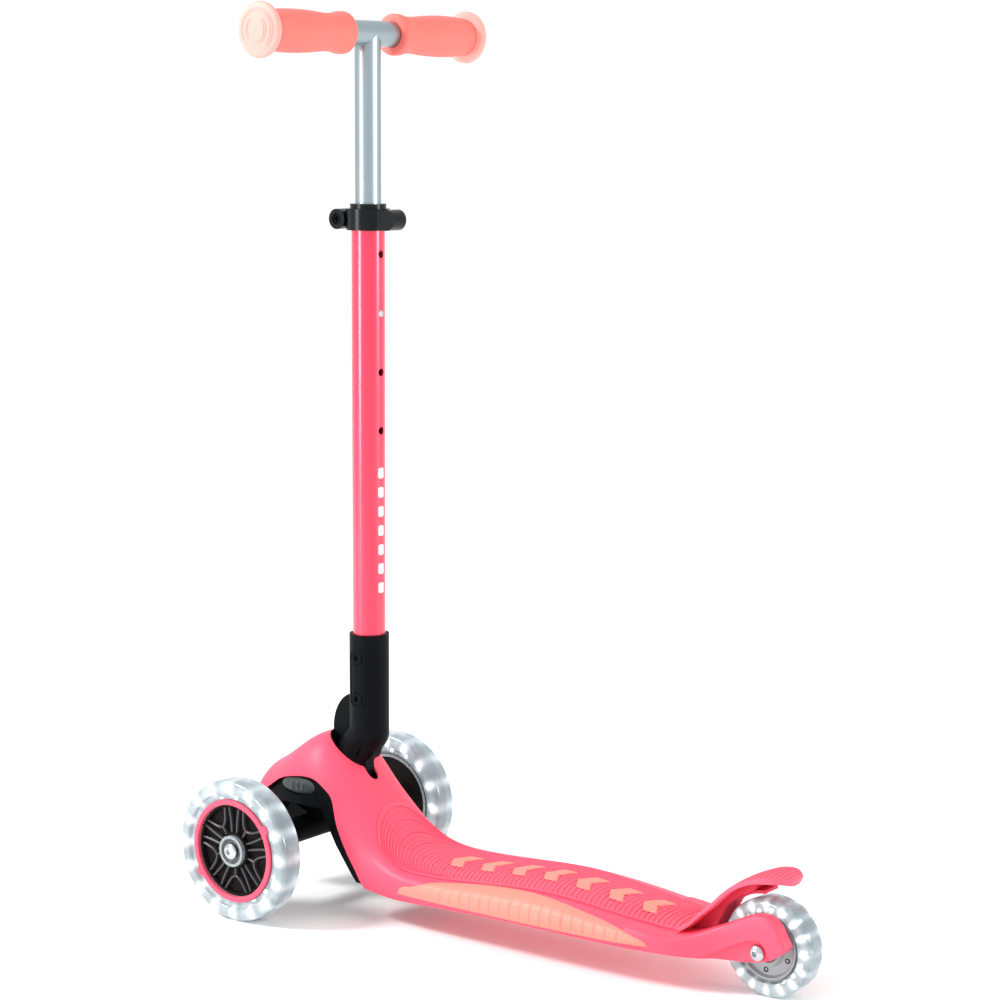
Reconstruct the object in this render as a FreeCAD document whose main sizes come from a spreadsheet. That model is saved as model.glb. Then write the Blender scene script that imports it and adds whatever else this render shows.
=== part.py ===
import FreeCAD, Part
import math
import os

import Sketcher

# Three-wheeled lean-to-steer kick scooter with a folding stem.
# Frame: millimetres, +X is the direction of travel, +Y the rider's left, +Z up.
# The origin is on the ground, at the middle of the scooter's length and width.

Vector = FreeCAD.Vector
Rotation = FreeCAD.Rotation

DIMENSIONS = {
    # wheels and axles
    "wheelbase": 472.0, "half_track": 103.0,
    "front_tyre_radius": 61.5, "front_tyre_width": 24.0, "front_tyre_fillet": 8.5,
    "rear_tyre_radius": 39.5, "rear_tyre_width": 23.0, "rear_tyre_fillet": 8.0,
    "bearing_radius": 11.0, "bearing_bore_radius": 4.0, "bearing_width": 7.0, "bearing_inset": 0.5,
    "boss_radius": 13.5, "web_thickness": 4.0, "layer_gap": 0.2,
    "front_rim_radius": 42.5, "rear_rim_radius": 25.8, "rim_thickness": 2.5, "light_ring_thickness": 2.3,
    "rim_half_width": 7.8, "tyre_step": 3.2, "tyre_step_radius": 49.5,
    "cover_radius": 40.0, "cover_thickness": 1.6, "cover_lip": 3.0, "rib_width": 2.4, "rib_height": 2.6,
    "accent_inner_radius": 40.4, "accent_radius": 44.8, "accent_thickness": 3.0,
    "accent_tab_reach": 48.8, "accent_tab_width": 6.0, "accent_tab_inset": 1.0,
    "axle_radius": 3.95, "bolt_head_radius": 7.0, "bolt_head_height": 3.6,
    "spacer_radius": 6.5, "side_gap": 0.3, "nut_radius": 7.2, "nut_height": 6.0,
    # stem and T-bar, along the leaning stem axis
    "stem_lean": 1.212, "stem_foot_x": 168.4,
    "lower_tube_radius": 14.2, "lower_tube_bore": 12.4, "lower_tube_start": 193.0, "lower_tube_end": 606.0,
    "upper_tube_radius": 11.0, "upper_tube_bore": 9.4, "upper_tube_start": 476.0,
    "handlebar_height": 751.0, "handlebar_half_length": 126.0,
    "height_hole_radius": 3.3, "top_height_hole": 568.0, "height_hole_pitch": 50.0,
    "button_hole": 518.0, "button_radius": 3.1, "button_proud": 0.9,
    "guide_length": 32.0, "running_gap": 0.1,
    "bushing_length": 46.0, "bushing_flange_radius": 15.4, "bushing_flange": 4.0,
    "clamp_bottom": 588.0, "clamp_height": 18.0, "clamp_radius": 18.4,
    "clamp_boss_radius": 8.6, "clamp_boss_reach": 21.5, "clamp_lobe_radius": 8.8, "clamp_lobe_reach": 26.5,
    "grip_start": 30.5, "grip_end": 126.5, "grip_flange_radius": 17.5, "grip_waist_radius": 15.6,
    "grip_bulge_radius": 17.2, "bumper_radius": 22.6, "bumper_start": 126.7, "bumper_thickness": 8.0,
    # fold joint
    "pivot_x": 165.5, "pivot_z": 137.0, "pivot_pin_radius": 4.0, "pivot_pin_half": 13.0,
    "pivot_lug_radius": 9.0,
    "knuckle_radius": 17.25, "knuckle_top": 240.5, "knuckle_elbow": 152.0,
    "knuckle_ball_x": 181.0, "knuckle_ball_z": 133.0,
    "plate_thickness": 11.0, "fork_gap": 11.7, "opening_radius": 19.0, "opening_x": 185.5,
    # steering pivot
    "kingpin_x": 241.8, "kingpin_z": 48.5, "kingpin_tilt": 25.0, "kingpin_radius": 4.0,
    "kingpin_tail": 4.0, "kingpin_grip": 52.0, "kingpin_head": 5.0, "kingpin_head_radius": 6.6,
    "kingpin_nut": 6.3, "kingpin_nut_radius": 6.9, "kingpin_nut_space": 9.6,
    "washer_seat": 6.4, "washer": 1.5, "washer_radius": 8.6,
    "truck_bottom": 8.3, "pivot_bore": 6.0, "bush_wall_gap": 0.05, "bush_length": 6.0,
    "cushion_radius": 12.0, "cushion_height": 8.0, "cushion_bore": 4.3, "truck_bridge_half": 15.0,
    "truck_boss_radius": 17.0, "truck_boss_offset": 7.0, "truck_seam": 34.0, "beam_radius": 11.0,
    # deck and brake
    "wall": 3.5, "rib": 2.5, "rib_pitch": 48.0, "pad_thickness": 1.2, "emblem_thickness": 0.6,
    "insert_thickness": 0.8, "fork_inner": 14.0, "fork_outer": 26.5,
    "brake_pivot_x": -184.0, "brake_pivot_z": 37.0, "brake_pin_radius": 2.5, "brake_gap": 3.4,
    "brake_half": 12.8, "brake_bay_half": 13.6, "brake_lug_radius": 6.0, "brake_spring_radius": 4.4,
    "brake_spring_half": 4.6, "brake_shoe": 2.5, "brake_shoe_half": 9.5, "fork_bolt_tail": 8.0,
    # lock button
    "lock_x": 214.5, "lock_z": 105.0, "lock_half_x": 19.5, "lock_half_z": 7.5,
    "lock_low": 30.0, "lock_high": 40.4,
    "lock_rod_radius": 3.0, "lock_rod_low": 14.0, "lock_rod_high": 32.0, "lock_spring_radius": 5.6,
    "lock_spring_bore": 3.6, "lock_spring_low": 24.1, "lock_spring_high": 25.7, "lock_gap": 0.4,
    # knuckle and clamp screws
    "knuckle_bolt_radius": 2.95, "knuckle_hole_radius": 3.1, "knuckle_head_radius": 5.3,
    "knuckle_seat_radius": 5.8,
    "knuckle_seat": 14.4, "knuckle_head": 2.6, "knuckle_upper_bolt": 220.5, "knuckle_lower_bolt": 184.5,
    "socket_radius": 2.9, "socket_depth": 1.6,
    "clamp_half": 14.0, "clamp_lobe_half": 8.0, "clamp_bridge_half": 9.0, "clamp_split": 2.4,
    "clamp_screw_radius": 2.5, "clamp_head_radius": 4.4, "clamp_head": 4.0, "clamp_seat": 11.0,
    "clamp_seat_radius": 4.8,
    "clamp_nut": 2.5, "clamp_nut_radius": 4.6,
    # height button spring
    "spring_reach": 6.9, "spring_strip": 0.7, "spring_half": 3.2, "spring_below": 14.0, "spring_above": 6.0,
}

doc = FreeCAD.newDocument("kick_scooter")
sheet = doc.addObject("Spreadsheet::Sheet", "Dims")
for row, (alias, number) in enumerate(DIMENSIONS.items(), start=1):
    sheet.set(f"A{row}", alias)
    sheet.set(f"B{row}", str(number))
    sheet.setAlias(f"B{row}", alias)
doc.recompute()

FRONT_AXLE_X = "(Dims.wheelbase - Dims.front_tyre_radius + Dims.rear_tyre_radius) / 2"
REAR_AXLE_X = f"({FRONT_AXLE_X} - Dims.wheelbase)"
Y_AXIS_UP = Rotation(Vector(1, 0, 0), -90)
NO_TURN = Rotation()


def value(expression):
    """The number that an expression over the sheet's cells gives now."""
    result = sheet.evalExpression(str(expression))
    return float(getattr(result, "Value", result))


def size(name):
    """One dimension from the sheet, in millimetres."""
    return value(f"Dims.{name}")


stem_turn = Rotation(Vector(0, 1, 0), -size("stem_lean"))
kingpin_turn = Rotation(Vector(0, 1, 0), size("kingpin_tilt"))
STEM_FOOT = ("Dims.stem_foot_x", "0", "0")
KINGPIN_FOOT = ("Dims.kingpin_x", "0", "Dims.kingpin_z")


def place(item, base, turn=NO_TURN):
    """Put an object at a point given by three expressions, turned by a rotation."""
    item.Placement = FreeCAD.Placement(Vector(*(value(part) for part in base)), turn)
    for axis, part in zip("xyz", base):
        item.setExpression(f"Placement.Base.{axis}", part)
    return item


def new_body(label):
    body = doc.addObject("PartDesign::Body", label)
    body.Label = label
    return body


def origin_plane(body, role):
    return next(part for part in body.Origin.OriginFeatures if part.Role == role)


def bind_point(sketch, curve, end, across, up):
    """Hold one end of a sketch curve at (across, up), both expressions."""
    for kind, axis, expression in (("DistanceX", -2, across), ("DistanceY", -1, up)):
        size = value(expression)
        if abs(size) < 1e-9:
            sketch.addConstraint(Sketcher.Constraint("PointOnObject", curve, end, axis))
        elif size > 0:
            index = sketch.addConstraint(Sketcher.Constraint(kind, -1, 1, curve, end, size))
            sketch.setExpression(f"Constraints[{index}]", str(expression))
        else:
            index = sketch.addConstraint(Sketcher.Constraint(kind, curve, end, -1, 1, -size))
            sketch.setExpression(f"Constraints[{index}]", f"-({expression})")


def outline(body, name, role, corners):
    """A closed straight-sided sketch whose corners are pairs of expressions."""
    sketch = body.newObject("Sketcher::SketchObject", name)
    sketch.AttachmentSupport = [(origin_plane(body, role), "")]
    sketch.MapMode = "FlatFace"
    points = [Vector(value(across), value(up), 0) for across, up in corners]
    for start, end in zip(points, points[1:] + points[:1]):
        sketch.addGeometry(Part.LineSegment(start, end))
    for index, (across, up) in enumerate(corners):
        following = (index + 1) % len(corners)
        sketch.addConstraint(Sketcher.Constraint("Coincident", index, 2, following, 1))
        bind_point(sketch, index, 1, across, up)
    return sketch


def turned(label, corners, base=("0", "0", "0"), turn=NO_TURN):
    """A lathe-turned body: corners are (radius, height) pairs about the body's own Z."""
    body = new_body(label)
    sketch = outline(body, f"{label}_profile", "XZ_Plane", corners)
    spin = body.newObject("PartDesign::Revolution", f"{label}_turned")
    spin.Profile = sketch
    spin.ReferenceAxis = (sketch, ["V_Axis"])
    spin.Angle = 360
    doc.recompute()
    return place(body, base, turn)


def ring(label, bore, radius, bottom, top, base=("0", "0", "0"), turn=NO_TURN):
    """A plain turned ring or tube."""
    corners = [(bore, bottom), (radius, bottom), (radius, top), (bore, top)]
    return turned(label, corners, base, turn)


def padded(body, name, corners, start, length):
    """A pad added to a body, from a straight-sided sketch at a start height on its own Z."""
    profile = outline(body, f"{name}_sketch", "XY_Plane", corners)
    profile.setExpression("AttachmentOffset.Base.z", start)
    doc.recompute()
    pad = body.newObject("PartDesign::Pad", name)
    pad.Profile = profile
    pad.setExpression("Length", length)
    doc.recompute()
    return pad


def pattern(body, feature, count):
    """Repeat a feature around the body's own Z."""
    polar = body.newObject("PartDesign::PolarPattern", f"{feature.Name}_round")
    polar.Originals = [feature]
    polar.Axis = (origin_plane(body, "Z_Axis"), [""])
    polar.Angle = 360
    polar.Occurrences = count
    body.Tip = polar
    doc.recompute()
    return polar


def rounded(body, base_feature, radius_expression, wanted):
    """Fillet the edges of a feature that a test picks."""
    edges = [f"Edge{index}" for index, edge in enumerate(base_feature.Shape.Edges, start=1) if wanted(edge)]
    fillet = body.newObject("PartDesign::Fillet", f"{body.Name}_fillet")
    fillet.Base = (base_feature, edges)
    fillet.setExpression("Radius", radius_expression)
    doc.recompute()
    return fillet


def is_circle(edge, radius):
    return isinstance(edge.Curve, Part.Circle) and abs(edge.Curve.Radius - radius) < 1e-4


def mirrored(label, source):
    """The right-hand twin of a left-hand object."""
    twin = doc.addObject("Part::Mirroring", label)
    twin.Label = label
    twin.Source = source
    twin.Normal = Vector(0, 1, 0)
    return twin


def grouped(label, sources):
    """Separate solids that share one node."""
    group = doc.addObject("Part::Compound", label)
    group.Label = label
    group.Links = sources
    return group


def shaped(label, shape):
    """A free-form piece whose sizes were read from the sheet."""
    feature = doc.addObject("Part::Feature", label)
    feature.Label = label
    solid = shape.removeSplitter() if shape.isValid() else shape
    feature.Shape = solid if solid.isValid() else shape
    feature.Placement = FreeCAD.Placement()
    return feature


# ---------------------------------------------------------------- wheels

def wheel_pieces(side, radius, width, fillet, rim, centre, stepped):
    """Tyre, core, light ring and bearings of one wheel; the body's own Z points outwards."""
    pieces = {}
    rim_outer = f"Dims.{rim}"
    ring_outer = f"({rim_outer} + Dims.layer_gap + Dims.light_ring_thickness)"
    seat = f"({ring_outer} + Dims.layer_gap)"
    half = f"({width} / 2)"
    face = f"({half} - Dims.tyre_step)" if stepped else f"({half} - Dims.side_gap)"
    shoulder = "Dims.tyre_step_radius" if stepped else f"({seat} + Dims.layer_gap)"

    tyre = turned(f"{side}_tyre", [
        (seat, f"-{face}"), (shoulder, f"-{face}"), (shoulder, f"-{half}"), (radius, f"-{half}"),
        (radius, half), (shoulder, half), (shoulder, face), (seat, face)], centre, Y_AXIS_UP)
    crown = value(radius)
    rounded(tyre, tyre.Tip, fillet, lambda edge: is_circle(edge, crown))
    pieces["tyre"] = tyre

    rim_inner = f"({rim_outer} - Dims.rim_thickness)"
    web = "Dims.web_thickness / 2"
    pieces["core"] = turned(f"{side}_wheel_core", [
        ("Dims.bearing_radius", f"-{half}"), ("Dims.boss_radius", f"-{half}"), ("Dims.boss_radius", f"-{web}"),
        (rim_inner, f"-{web}"), (rim_inner, "-Dims.rim_half_width"), (rim_outer, "-Dims.rim_half_width"),
        (rim_outer, "Dims.rim_half_width"), (rim_inner, "Dims.rim_half_width"), (rim_inner, web),
        ("Dims.boss_radius", web), ("Dims.boss_radius", half), ("Dims.bearing_radius", half)],
        centre, Y_AXIS_UP)
    pieces["lights"] = ring(f"{side}_light_ring", f"({rim_outer} + Dims.layer_gap)", ring_outer,
                            "-Dims.rim_half_width + 1", "Dims.rim_half_width - 1", centre, Y_AXIS_UP)
    bearing_top = f"({half} - Dims.bearing_inset)"
    bearing_bottom = f"({bearing_top} - Dims.bearing_width)"
    outer = ring(f"{side}_outer_bearing", "Dims.bearing_bore_radius", "Dims.bearing_radius",
                 bearing_bottom, bearing_top, centre, Y_AXIS_UP)
    inner = ring(f"{side}_inner_bearing", "Dims.bearing_bore_radius", "Dims.bearing_radius",
                 f"-{bearing_top}", f"-{bearing_bottom}", centre, Y_AXIS_UP)
    pieces["bearings"] = grouped(f"{side}_wheel_bearings", [outer, inner])
    pieces["sleeve"] = ring(f"{side}_bearing_sleeve", "Dims.bearing_bore_radius", "Dims.spacer_radius",
                            f"-({bearing_bottom} - Dims.side_gap)", f"{bearing_bottom} - Dims.side_gap",
                            centre, Y_AXIS_UP)
    return pieces


def spoked_cover(label, centre):
    """The black outer cover of a front wheel: a dish with five spokes and a raised edge."""
    bottom = "(Dims.web_thickness / 2 + Dims.layer_gap)"
    top = f"({bottom} + Dims.cover_thickness)"
    lip = f"({top} + Dims.cover_lip)"
    clear_radius = "(Dims.front_rim_radius - Dims.rim_thickness - Dims.layer_gap)"
    hub = "(Dims.boss_radius + Dims.layer_gap)"
    cover = turned(label, [
        (hub, bottom), (clear_radius, bottom), (clear_radius, lip),
        (f"{clear_radius} - Dims.rib_width", lip), (f"{clear_radius} - Dims.rib_width", top),
        (f"{hub} + Dims.rib_width", top), (f"{hub} + Dims.rib_width", lip), (hub, lip)], centre, Y_AXIS_UP)
    half = "Dims.rib_width / 2"
    reach = f"({clear_radius} - Dims.rib_width / 2)"
    foot = f"({hub} + Dims.rib_width / 2)"
    rib = padded(cover, f"{label}_rib", [(foot, f"-{half}"), (reach, f"-{half}"), (reach, half), (foot, half)],
                 bottom, "Dims.cover_thickness + Dims.rib_height")
    pattern(cover, rib, 5)
    return cover


def flat_cover(label, centre):
    """The plain inner cover of a front wheel."""
    bottom = "(Dims.web_thickness / 2 + Dims.layer_gap)"
    clear_radius = "(Dims.front_rim_radius - Dims.rim_thickness - Dims.layer_gap)"
    return ring(label, "Dims.boss_radius + Dims.layer_gap", clear_radius,
                f"-({bottom} + Dims.cover_thickness)", f"-{bottom}", centre, Y_AXIS_UP)


def accent_ring(label, centre):
    """The coloured ring on a front wheel's outer face, with two small tabs over the tyre."""
    bottom = "(Dims.rim_half_width + Dims.layer_gap)"
    top = f"({bottom} + Dims.accent_thickness)"
    body = ring(label, "Dims.accent_inner_radius", "Dims.accent_radius", bottom, top, centre, Y_AXIS_UP)
    half = "Dims.accent_tab_width / 2"
    foot = "(Dims.accent_radius - Dims.accent_tab_inset)"
    reach = "Dims.accent_tab_reach"
    tab = padded(body, f"{label}_tab", [(foot, f"-{half}"), (reach, f"-{half}"), (reach, half), (foot, half)],
                 f"{bottom} + Dims.accent_tab_inset", "Dims.accent_thickness - Dims.accent_tab_inset")
    pattern(body, tab, 2)
    return body


def front_wheel():
    centre = (FRONT_AXLE_X, "Dims.half_track", "Dims.front_tyre_radius")
    pieces = wheel_pieces("left_front", "Dims.front_tyre_radius", "Dims.front_tyre_width",
                          "Dims.front_tyre_fillet", "front_rim_radius", centre, True)
    pieces["cover"] = spoked_cover("left_front_wheel_cover", centre)
    pieces["inner_cover"] = flat_cover("left_front_inner_cover", centre)
    pieces["accent"] = accent_ring("left_front_accent_ring", centre)
    return pieces


def domed_bolt(label, length, base, turn):
    """A domed axle bolt: the head's underside is at the body's own Z of 0."""
    crown = "Dims.bolt_head_height"
    return turned(label, [
        ("0", f"-{length}"), ("Dims.axle_radius", f"-{length}"), ("Dims.axle_radius", "0"),
        ("Dims.bolt_head_radius", "0"), ("Dims.bolt_head_radius", f"{crown} * 0.35"),
        ("Dims.bolt_head_radius * 0.8", f"{crown} * 0.75"), ("Dims.bolt_head_radius * 0.4", crown),
        ("0", crown)], base, turn)


def hexagon(radius, height, base, turn, bore=0.0):
    """A hexagonal prism across two opposite corners, optionally with a round hole."""
    corners = [Vector(radius * math.cos(math.radians(60 * k)), radius * math.sin(math.radians(60 * k)), 0)
               for k in range(7)]
    solid = Part.Face(Part.makePolygon(corners)).extrude(Vector(0, 0, height))
    if bore:
        solid = solid.cut(Part.makeCylinder(bore, height))
    solid.Placement = FreeCAD.Placement(base, turn)
    return solid


left_wheel = front_wheel()
RIGHT_NAMES = {"tyre": "right_front_tyre", "core": "right_front_wheel_core",
               "lights": "right_front_light_ring", "bearings": "right_front_wheel_bearings",
               "sleeve": "right_front_bearing_sleeve", "cover": "right_front_wheel_cover",
               "inner_cover": "right_front_inner_cover", "accent": "right_front_accent_ring"}
nodes = list(left_wheel.values())
for key, label in RIGHT_NAMES.items():
    nodes.append(mirrored(label, left_wheel[key]))

rear_centre = (REAR_AXLE_X, "0", "Dims.rear_tyre_radius")
rear_wheel = wheel_pieces("rear", "Dims.rear_tyre_radius", "Dims.rear_tyre_width",
                          "Dims.rear_tyre_fillet", "rear_rim_radius", rear_centre, False)
nodes += list(rear_wheel.values())


# ---------------------------------------------------------------- front truck

wheel_face = "(Dims.half_track - Dims.front_tyre_width / 2)"
arm_end = f"({wheel_face} - Dims.side_gap - 2.5)"
axle_point = (FRONT_AXLE_X, "Dims.half_track + Dims.front_tyre_width / 2 - Dims.bearing_inset + Dims.side_gap",
              "Dims.front_tyre_radius")
left_bolt = domed_bolt("left_axle_bolt", "(Dims.front_tyre_width + 44)", axle_point, Y_AXIS_UP)
right_bolt = mirrored("right_axle_bolt", left_bolt)
nodes.append(grouped("front_axle_bolts", [left_bolt, right_bolt]))
left_spacer = ring("left_axle_spacer", "Dims.bearing_bore_radius", "Dims.spacer_radius", arm_end,
                   f"{wheel_face} + Dims.bearing_inset - Dims.side_gap",
                   (FRONT_AXLE_X, "0", "Dims.front_tyre_radius"), Y_AXIS_UP)
nodes.append(grouped("front_axle_spacers", [left_spacer, mirrored("right_axle_spacer", left_spacer)]))

kingpin_foot = Vector(size("kingpin_x"), 0, size("kingpin_z"))
kingpin_axis = kingpin_turn.multVec(Vector(0, 0, 1))
kingpin_forward = kingpin_turn.multVec(Vector(1, 0, 0))
seam = size("truck_seam")
truck_bottom = size("truck_bottom")
TRUCK_BRIDGE = [(236, 54), (231, 54), (221, 62), (216, 70), (246, 81), (256, 66), (250, 55)]


def along_kingpin(radius, low, high, forward=0.0):
    base = kingpin_foot + kingpin_axis * low + kingpin_forward * forward
    return Part.makeCylinder(radius, high - low, base, kingpin_axis)


def across_y(radius, half_length, centre):
    return Part.makeCylinder(radius, 2 * half_length, centre - Vector(0, half_length, 0), Vector(0, 1, 0))


def side_prism(points, half_width):
    """A prism across the width of a closed outline in the X-Z plane."""
    corners = [Vector(across, -half_width, up) for across, up in points]
    return Part.Face(Part.makePolygon(corners + corners[:1])).extrude(Vector(0, 2 * half_width, 0))


def truck_body():
    """Steering truck: eccentric boss round the kingpin, with an axle beam across it."""
    axle = Vector(value(FRONT_AXLE_X), 0, size("front_tyre_radius"))
    reach = value(arm_end)
    beam = across_y(size("beam_radius"), reach, axle)
    boss = along_kingpin(size("truck_boss_radius"), truck_bottom, seam, size("truck_boss_offset"))
    bridge = side_prism(TRUCK_BRIDGE, size("truck_bridge_half"))
    cushion_seat = along_kingpin(size("cushion_radius") + size("side_gap"), seam - size("cushion_height"), seam)
    pivot_bore = along_kingpin(size("pivot_bore"), 0, seam)
    nut_space = along_kingpin(size("kingpin_nut_space"), -truck_bottom, truck_bottom)
    axle_bore = across_y(size("bearing_bore_radius"), reach, axle)
    return shaped("truck_body", beam.fuse([boss, bridge]).cut([cushion_seat, pivot_bore, nut_space, axle_bore]))


def kingpin_ring(radius, bore, low, high):
    return along_kingpin(radius, low, high).cut(along_kingpin(bore, low, high))


def kingpin_parts():
    radius = size("kingpin_radius")
    bush = size("pivot_bore") - size("bush_wall_gap")
    bore = radius + size("bush_wall_gap")
    length = size("bush_length")
    high_end = seam - size("cushion_height") - size("side_gap")
    grip = size("kingpin_grip")
    seat = size("washer_seat")
    bushes = shaped("kingpin_bushes", Part.makeCompound([
        kingpin_ring(bush, bore, truck_bottom, truck_bottom + length),
        kingpin_ring(bush, bore, high_end - length, high_end)]))
    head = hexagon(size("kingpin_head_radius"), size("kingpin_head"), kingpin_foot + kingpin_axis * grip,
                   kingpin_turn)
    bolt = shaped("kingpin_bolt", along_kingpin(radius, -size("kingpin_tail"), grip).fuse(head))
    nut = shaped("kingpin_nut", hexagon(size("kingpin_nut_radius"), size("kingpin_nut"), kingpin_foot,
                                        kingpin_turn, radius))
    washer = shaped("kingpin_washer", kingpin_ring(size("washer_radius"), radius, seat, seat + size("washer")))
    cushion = shaped("steering_cushion", kingpin_ring(
        size("cushion_radius"), size("cushion_bore"), high_end + 2 * size("side_gap"), seam + size("side_gap")))
    return [bushes, bolt, nut, washer, cushion]


nodes.append(truck_body())
nodes += kingpin_parts()


# ---------------------------------------------------------------- deck

# Stations along the deck, each (distance behind the front axle, half width, height where the top curve
# meets the side, ridge height, squareness of the top curve, height of the lower edge).
STATIONS = [
    (-60, 24, 66, 84, 2.2, 60), (-50, 34, 68, 104, 2.2, 60), (-30, 41, 75, 121, 2.2, 55),
    (0, 45, 85, 141, 2.2, 40), (25, 46, 85, 149, 2.2, 32), (45, 47, 75, 138, 2.1, 31),
    (60, 48, 62, 119.5, 2.1, 30), (80, 49.5, 50, 94.5, 2.2, 29.5), (100, 50.5, 43, 71.5, 2.4, 29),
    (120, 52, 40, 57.5, 2.8, 29), (150, 54, 38.5, 52.3, 3.0, 29), (220, 56, 39, 55.5, 3.0, 30),
    (275, 57, 39.5, 57.8, 3.0, 30.5), (340, 55.5, 38.5, 52, 3.0, 30), (380, 51, 37, 48, 3.0, 29.5),
    (405, 44, 38, 46.5, 3.0, 29.5),
]
CURVE_STEPS = 7
front_x = value(FRONT_AXLE_X)


def deck_section(station, grow, drop):
    """The closed outline of one deck station, grown outwards and with its lower edge dropped."""
    behind, half_width, side_top, ridge, squareness, bottom = station
    half_width += grow
    ridge += grow
    low = bottom - drop
    half = []
    for step in range(CURVE_STEPS + 1):
        angle = math.pi / 2 * step / CURVE_STEPS
        across = half_width * math.sin(angle) ** (2 / squareness)
        up = side_top + (ridge - side_top) * math.cos(angle) ** (2 / squareness)
        half.append((across, up))
    half += [(half_width - 0.6, (side_top + low) / 2), (half_width - 3, low)]
    across_section = [Vector(front_x - behind, -across, up) for across, up in reversed(half)]
    across_section += [Vector(front_x - behind, across, up) for across, up in half[1:]]
    curve = Part.BSplineCurve()
    curve.interpolate(across_section)
    edge = curve.toShape()
    closing = Part.makeLine(edge.valueAt(edge.LastParameter), edge.valueAt(edge.FirstParameter))
    return Part.Wire([edge, closing])


def deck_loft(grow=0.0, drop=0.0, first=None):
    """The deck's envelope, grown outwards; first replaces the nose station's distance."""
    stations = list(STATIONS)
    if first is not None:
        stations[0] = (first,) + stations[0][1:]
    return Part.makeLoft([deck_section(station, grow, drop) for station in stations], True, False)


def smooth_prism(curve_points, straight_points, half_width):
    """A prism whose X-Z outline is a smooth curve closed by straight lines."""
    curve = Part.BSplineCurve()
    curve.interpolate([Vector(across, -half_width, up) for across, up in curve_points])
    corners = [curve_points[-1]] + straight_points + [curve_points[0]]
    lines = Part.makePolygon([Vector(across, -half_width, up) for across, up in corners])
    return Part.Face(Part.Wire([curve.toShape()] + lines.Edges)).extrude(Vector(0, 2 * half_width, 0))


WHEEL_ARCH = [(279, 76), (268, 88), (253, 98), (239, 107), (223.6, 112.4), (206, 115), (191, 112.7),
              (180.5, 106), (172, 96), (167, 83.5), (159, 68.4), (150, 55), (142, 43.4), (133, 27)]
FORK_TOP = [(-170, 40), (-182, 42), (-194, 46), (-209, 53), (-224, 60), (-235, 66), (-248.5, 70), (-260, 70.5),
            (-268, 66), (-274, 58)]
FORK_FOOT = [(-281, 45), (-266, 38), (-247, 31), (-230, 28.5), (-200, 28.5), (-170, 29.5)]
pivot = Vector(size("pivot_x"), 0, size("pivot_z"))
opening = Vector(size("opening_x"), 0, 0)


def box(low, high):
    size = Vector(*high) - Vector(*low)
    return Part.makeBox(size.x, size.y, size.z, Vector(*low))


envelope = deck_loft()
wall = size("wall")
rear_axle = Vector(value(REAR_AXLE_X), 0, size("rear_tyre_radius"))
brake_pivot = Vector(size("brake_pivot_x"), 0, size("brake_pivot_z"))


bay_half = size("brake_bay_half")
brake_bay = box((-230, -bay_half, 20), (-177.5, bay_half, 80))


def fold_slot():
    """Slot in the neck behind the knuckle, with a round end."""
    half = size("fork_gap") / 2
    end = 164.0
    return box((end, -half, 105), (opening.x, half, 160)).fuse(
        Part.makeCylinder(half, 55, Vector(end, 0, 105)))


def fork_arm(sign):
    inner = size("fork_inner")
    outer = size("fork_outer")
    arm = smooth_prism(FORK_TOP, FORK_FOOT, (outer - inner) / 2)
    arm.translate(Vector(0, sign * (outer + inner) / 2, 0))
    return arm


def deck_shell():
    hollow = deck_loft(-wall, 8.0, -56.5)
    pitch = size("rib_pitch")
    rib = size("rib")
    lattice = [box((-178, -rib / 2, 20), (120, rib / 2, 60))]
    for index in range(7):
        middle = 112 - index * pitch
        lattice.append(box((middle - rib / 2, -60, 20), (middle + rib / 2, 60, 75)))
    lattice.append(box((-182, -46, 20), (-172, 46, 60)))
    inside = deck_loft(-0.8)
    ribs = lattice[0].fuse(lattice[1:]).common(inside)
    arch = smooth_prism(WHEEL_ARCH, [(133, 10), (279, 10)], 70)
    shell = envelope.cut(hollow).fuse([ribs, fork_arm(1), fork_arm(-1)])
    neck_hole = Part.makeCylinder(size("opening_radius"), 60, opening + Vector(0, 0, 108))
    bores = [across_y(size("axle_radius") + 0.05, 40, rear_axle),
             across_y(size("brake_pin_radius"), 23, brake_pivot)]
    return shaped("deck_shell", shell.cut([arch, neck_hole, fold_slot(), brake_bay] + bores))


def tread_pad():
    """Ridged foot pad on the deck's top, up the neck to a rounded apex."""
    plan = [(143, 0), (137, 22), (122, 36), (100, 42), (70, 43.5), (0, 41), (-70, 37.5), (-150, 33), (-178, 31)]
    near = [Vector(across, side, 0) for across, side in plan]
    far = [Vector(across, -side, 0) for across, side in reversed(plan[1:])]
    curve = Part.BSplineCurve()
    curve.interpolate(far + near)
    edge = curve.toShape()
    closing = Part.makeLine(near[-1], far[0])
    prism = Part.Face(Part.Wire([edge, closing])).extrude(Vector(0, 0, 160))
    grown = deck_loft(size("pad_thickness"))
    layers = grown.common(prism).cut(envelope.common(prism)).Solids
    return shaped("tread_pad", max(layers, key=lambda solid: solid.Volume).cut(brake_bay))


def tread_emblems():
    """A row of plain slanted bars along the pad, in place of any lettering."""
    thick = size("pad_thickness")
    solids = []
    for index in range(7):
        middle = 62 - index * 33
        bar = side_prism([(middle - 9, 0), (middle + 9, 0), (middle + 9, 200), (middle - 9, 200)], 13)
        solids.append(bar)
    bars = solids[0].fuse(solids[1:])
    grown = deck_loft(thick + size("emblem_thickness"))
    top_only = box((-200, -20, 45), (90, 20, 90))
    return shaped("tread_emblems", grown.common(bars).cut(deck_loft(thick)).common(top_only))


INSERT_TOP = [(92, 33), (85, 38), (73, 43), (60, 47), (42, 49.7), (20, 52), (-19, 55), (-46, 55.5), (-71, 54),
              (-97, 51), (-122, 47.5), (-140, 44), (-153, 40), (-162, 35)]


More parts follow.
